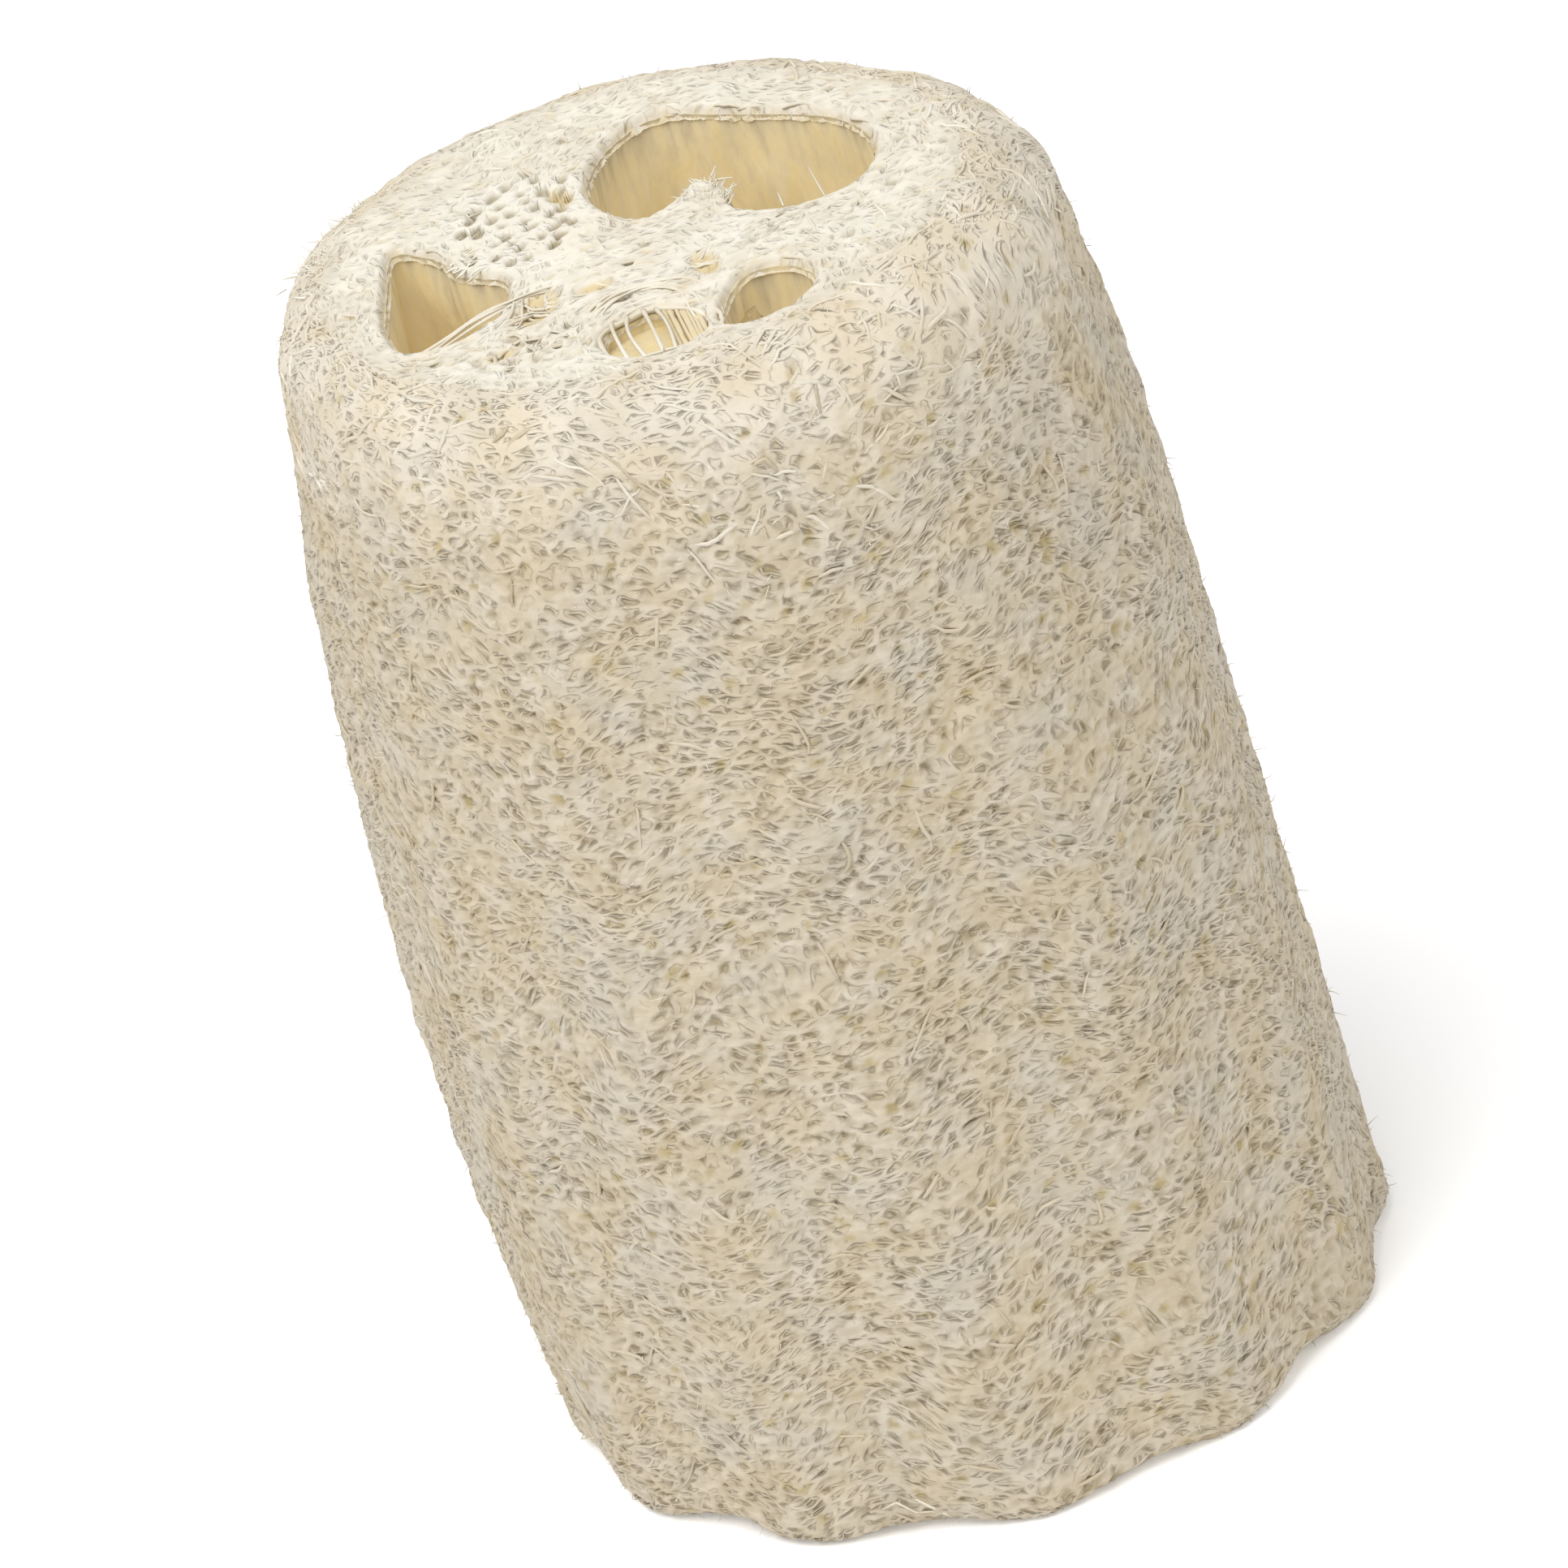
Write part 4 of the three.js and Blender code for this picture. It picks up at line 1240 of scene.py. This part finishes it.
def cordLines():
    # Each cord follows the outline at its own distance and height, and waves about them
    draw = np.random.default_rng(mouthCords["seed"])
    line = closedCurve(upperMouths["ribbed"], mouthCords["points"])
    tangent = unit(np.roll(line, -1, 0) - np.roll(line, 1, 0))
    out = np.stack([tangent[:, 1], -tangent[:, 0]], 1) * np.sign(signedArea(line))
    flat = np.column_stack([line, np.zeros(len(line))])
    lines, radii = [], []
    for apart, rise, radius in mouthCords["cords"]:
        seed = int(draw.integers(1000))
        waves = []
        for i, key in enumerate(("wave", "riseWave", "radiusWave")):
            size, length = mouthCords[key]
            waves.append(size * waveNoise(flat, length, seed + i))
        spots = line + out * (apart + waves[0])[:, None]
        z = wall["height"] - mouthCords["sink"] + (rise + waves[1])
        lines.append(np.column_stack([spots, z]))
        radii.append(radius * (1 + waves[2]))
    return keptInside(np.stack(lines), upperFlow, mouthCords["edge"]), np.stack(radii)


ups = np.array([0, 0, 1.0])
lines, radii = cordLines()
piece = tubes("mouthCords", lines, ups, radii, mouthCords["tint"], sides=6, closed=True)
finishPiece(piece, mouthCords["look"])

# Single strands: radius, then x, y and height above the cut of the points they pass
singleStrands = {
    "points": 22, "bundle": 3, "apart": 0.4, "wave": 0.22, "flatness": (0.3, 0.4),
    "thickness": (0.45, 1.0), "tint": 0.8, "seed": 104,
    "strands": [
        (0.24, [(-33, -19, -0.8), (-26, -16.8, 0.0), (-19, -12.2, 0.1), (-11, -10, -0.8)]),
        (0.20, [(-32, -20.5, -0.8), (-26, -17.4, 0.0), (-20, -13.4, 0.1), (-14, -9, -0.8)]),
        (0.20, [
            (-10, -26, -0.8), (-8, -20.5, 0.0), (-3, -18.3, 0.1), (1.5, -22, 0.0), (3, -30, -0.8),
        ]),
        (0.18, [
            (-12, -24, -0.8), (-8.6, -18.6, 0.0), (-2.5, -16.6, 0.0), (4, -21, -0.1), (5, -28, -0.8),
        ]),
    ],
    "look": {**paleFelt, "pale": (0.78, 0.74, 0.64)},
}
lines, radii = [], []
draw = np.random.default_rng(singleStrands["seed"])
spreadShare, waveShare = singleStrands["flatness"]
for radius, points in singleStrands["strands"]:
    middle = openCurve(points, singleStrands["points"])
    for i in range(singleStrands["bundle"]):
        apart = draw.normal(0, singleStrands["apart"], 3) * np.array([1, 1, spreadShare])
        wave = np.stack([waveNoise(middle + 40 * i, 8, 300 + axis) for axis in range(3)], 1)
        wave = singleStrands["wave"] * wave * np.array([1, 1, waveShare])
        lines.append(middle + apart + wave + np.array([0, 0, wall["height"]]))
        thickness = draw.uniform(*singleStrands["thickness"])
        radii.append(np.full(len(middle), radius * thickness))
lines, radii = np.stack(lines), np.stack(radii)
piece = tubes("singleStrands", lines, ups, radii, singleStrands["tint"], sides=6)
finishPiece(piece, singleStrands["look"])

# Ribs over the nearly closed mouth, the right ones so close that they make a skin
mouthRibs = {
    "places": [-6.9, -4.9, -3.0, -1.6],
    "skin": (-0.9, 3.0, 0.36),
    "points": 14,
    "front": -35.2,
    "back": -22.6,
    "endSpread": 0.4,
    "arch": 0.7,
    "sink": 0.5,
    "skinSink": 0.75,
    "slide": (0.5, 0.35),
    "radius": 0.27,
    "radiusSpread": (0.8, 1.1),
    "thinning": (1.35, 0.5),
    "tint": 0.8,
    "gold": 0.9,
    "seed": 121,
    "look": {**paleFelt, "gold": (0.64, 0.53, 0.33)},
}


def ribLines():
    # Each rib crosses the mouth from front to back and arches over it, a little aslant
    draw = np.random.default_rng(mouthRibs["seed"])
    x = np.array([*mouthRibs["places"], *np.arange(*mouthRibs["skin"])])
    isSkin = (np.arange(len(x)) >= len(mouthRibs["places"]))[:, None]
    share = np.linspace(0, 1, mouthRibs["points"])
    arch = np.sin(math.pi * share)
    length = mouthRibs["back"] - mouthRibs["front"]
    y = mouthRibs["front"] + length * share + draw.normal(0, mouthRibs["endSpread"], (len(x), 1))
    lift = mouthRibs["arch"] * arch - mouthRibs["sink"] - mouthRibs["skinSink"] * isSkin
    aslant, bow = mouthRibs["slide"]
    slide = aslant * (1 - 2 * share) + bow * arch * draw.normal(0, 1, (len(x), 1))
    lines = np.stack([x[:, None] + slide, y, wall["height"] + lift], -1)
    thick, thinner = mouthRibs["thinning"]
    radii = mouthRibs["radius"] * draw.uniform(*mouthRibs["radiusSpread"], (len(x), 1))
    radii = radii * (thick - thinner * arch)
    return lines, radii, np.broadcast_to(isSkin * mouthRibs["gold"], radii.shape)


lines, radii, gold = ribLines()
piece = tubes("mouthRibs", lines, ups, radii, mouthRibs["tint"], gold, sides=6)
finishPiece(piece, mouthRibs["look"])

# Loose tufts of the upper cut: root x and y, how far roots spread, direction and its spread in
# degrees, length, how high the tips rise, count
tufts = {
    "points": 7, "radius": (0.06, 0.14), "thinning": [1, 1, 0.95, 0.9, 0.75, 0.6, 0.35],
    "rootSpread": 0.6, "bend": (22, 4), "length": (0.6, 1.2), "sink": 0.35, "rise": (0.3, 1.0),
    "risePower": 1.3, "tint": (0.4, 1), "seeds": (131, 132),
    "groups": [
        (7.4, 0.4, 1.5, 3.6, 95, 40, 2.4, 0.5, 220),
        (-10.5, -23.5, 1.6, 3.0, 150, 35, 3.0, 0.3, 30),
        (-10.0, -18.5, 2.4, 1.4, 100, 35, 3.0, 0.3, 30),
        (-19.5, -18.5, 2.0, 3.0, 60, 30, 3.0, 0.2, 18),
        (-22.5, 3.0, 1.2, 4.0, 40, 12, 5.5, 0.2, 30),
        (15.0, -10.5, 4.5, 1.2, 20, 14, 4.0, 0.1, 30),
        (-38.0, 12.0, 2.5, 5.5, 130, 50, 2.2, 0.4, 50),
        (-32.0, 23.0, 6.0, 4.0, 120, 50, 2.2, 0.4, 50),
        (19.9, -7.2, 0.1, 0.1, 100, 2, 5.5, 4.2, 1),
        (15.1, -6.4, 0.1, 0.1, 95, 2, 1.8, 1.2, 1),
    ],
    "look": {**paleFelt, "pale": (0.82, 0.79, 0.70)},
}


def tuftLines():
    # Each fibre starts near its group's root, runs its own way, bends, and rises to its tip. A
    # fibre that is a group of its own bends little.
    draw = np.random.default_rng(tufts["seeds"][0])
    share = np.linspace(0, 1, tufts["points"])
    lines = []
    for x, y, wide, deep, degrees, spread, length, rise, count in tufts["groups"]:
        rootX = x + wide * draw.normal(0, tufts["rootSpread"], count)
        rootY = y + deep * draw.normal(0, tufts["rootSpread"], count)
        way = np.radians(degrees + draw.normal(0, spread, count))[:, None]
        bend = np.radians(draw.normal(0, tufts["bend"][0 if count > 1 else 1], count))[:, None]
        run = length * draw.uniform(*tufts["length"], (count, 1)) / (len(share) - 1)
        heading = way + bend * share
        steps = np.stack([np.cos(heading), np.sin(heading)], -1) * run[..., None]
        spots = np.stack([rootX, rootY], 1)[:, None] + np.cumsum(steps, 1) - steps[:, :1]
        climb = rise * draw.uniform(*tufts["rise"], (count, 1)) * share ** tufts["risePower"]
        z = faceHeight(spots[:, :1], True) - tufts["sink"] + climb
        lines.append(np.concatenate([spots, z[..., None]], -1))
    return np.concatenate(lines)


lines = tuftLines()
draw = np.random.default_rng(tufts["seeds"][1])
radii = draw.uniform(*tufts["radius"], (len(lines), 1)) * np.array(tufts["thinning"])
tint = draw.uniform(*tufts["tint"], (len(lines), 1))
finishPiece(tubes("tufts", lines, ups, radii, tint, sides=4), tufts["look"])

# Short fuzz all over the outside. Each hair leans, but never back into the wall.
fuzz = {
    "count": 4200, "length": (0.5, 1.3), "radius": (0.045, 0.08), "thinning": [1, 0.8, 0.4],
    "sink": 0.1, "lean": 0.9, "upright": 0.3, "least": 0.15, "bend": 0.35, "floor": 0.15,
    "up": (0.31, 0.22, 0.92), "tint": (0.5, 1), "seed": 111, "look": paleFelt,
}
draw = np.random.default_rng(fuzz["seed"])
count = fuzz["count"]
angle = draw.uniform(0, fullTurn, count)
level = draw.uniform(1, wallLength + 2, count)
root, outward = wallPlace(angle, level, -fuzz["sink"])
lean = draw.normal(0, fuzz["lean"], (count, 3))
along = np.sum(lean * outward, 1, keepdims=True)
way = unit(outward + lean - fuzz["upright"] * outward * along)
way = way + outward * np.maximum(fuzz["least"] - np.sum(way * outward, 1, keepdims=True), 0)
bend = draw.normal(0, fuzz["bend"], (count, 3))
length = draw.uniform(*fuzz["length"], (count, 1))
share = np.linspace(0, 1, len(fuzz["thinning"]))[:, None]
lines = root[:, None] + length[:, None] * (way[:, None] * share + bend[:, None] * share**2)
radii = draw.uniform(*fuzz["radius"], (count, 1)) * np.array(fuzz["thinning"])
lines[..., 2] = np.maximum(lines[..., 2], fuzz["floor"])
tint = draw.uniform(*fuzz["tint"], (count, 1))
finishPiece(tubes("fuzz", lines, np.array(fuzz["up"]), radii, tint), fuzz["look"])

# Camera: level with the right of the photo's frame, looking down at the sponge and rolled
view = {
    "distance": 1.5, "down": 27.5, "roll": 16.1, "focal": 15900.0, "side": 32.0, "rise": 5.0,
    "pixels": 1932.0, "sensor": 36.0,
}
down, roll = math.radians(view["down"]), math.radians(view["roll"])
back = Vector((0, -math.cos(down), math.sin(down)))
right = Vector((1, 0, 0))
upward = back.cross(right)
axisX = math.cos(roll) * right - math.sin(roll) * upward
axisY = math.sin(roll) * right + math.cos(roll) * upward
pixel = view["distance"] / view["focal"]
aim = Vector((*(centring[:2] * metre), wall["height"] / 2 * metre))
aim = aim - axisX * view["side"] * pixel - axisY * view["rise"] * pixel
cameraData = bpy.data.cameras.new("camera")
cameraData.sensor_width = view["sensor"]
cameraData.lens = view["focal"] / view["pixels"] * view["sensor"]
camera = bpy.data.objects.new("camera", cameraData)
spot = aim + back * view["distance"]
turned = Matrix((axisX, axisY, back)).transposed().to_4x4()
camera.matrix_world = Matrix.Translation(spot) @ turned
bpy.context.scene.collection.objects.link(camera)
bpy.context.scene.camera = camera

# Floor, white surroundings and soft lamps
surroundings = {
    "half": 4,
    "floor": {
        "Base Color": (0.93, 0.93, 0.935, 1),
        "Roughness": 0.9,
        "Emission Color": (1, 1, 1, 1),
        "Emission Strength": 0.2,
    },
    "world": {"Color": (1, 1, 1, 1), "Strength": 0.66},
    "aim": (0, 0, 0.09),
    "lamps": {
        "key": {"from": (-0.4, -0.5, 1.4), "size": 1.1, "power": 17.0},
        "fill": {"from": (0.9, -0.5, 0.8), "size": 0.9, "power": 1.5},
    },
}
half = surroundings["half"]
floorMesh = bpy.data.meshes.new("floor")
edges = [(-half, -half, 0), (half, -half, 0), (half, half, 0), (-half, half, 0)]
floorMesh.from_pydata(edges, [], [(0, 1, 2, 3)])
floor = bpy.data.objects.new("floor", floorMesh)
bpy.context.scene.collection.objects.link(floor)
floorMaterial = bpy.data.materials.new("paleFloor")
floorMaterial.use_nodes = True
for key, value in surroundings["floor"].items():
    floorMaterial.node_tree.nodes["Principled BSDF"].inputs[key].default_value = value
floorMesh.materials.append(floorMaterial)

for name, lamp in surroundings["lamps"].items():
    data = bpy.data.lights.new(name, "AREA")
    data.shape, data.size, data.energy = "DISK", lamp["size"], lamp["power"]
    light = bpy.data.objects.new(name, data)
    light.location = lamp["from"]
    toward = Vector(surroundings["aim"]) - Vector(lamp["from"])
    light.rotation_euler = toward.to_track_quat("-Z", "Y").to_euler()
    bpy.context.scene.collection.objects.link(light)
world = bpy.data.worlds.new("world")
world.use_nodes = True
for key, value in surroundings["world"].items():
    world.node_tree.nodes["Background"].inputs[key].default_value = value
bpy.context.scene.world = world
bpy.context.scene.view_settings.view_transform = "Standard"
print("stage: camera and light")
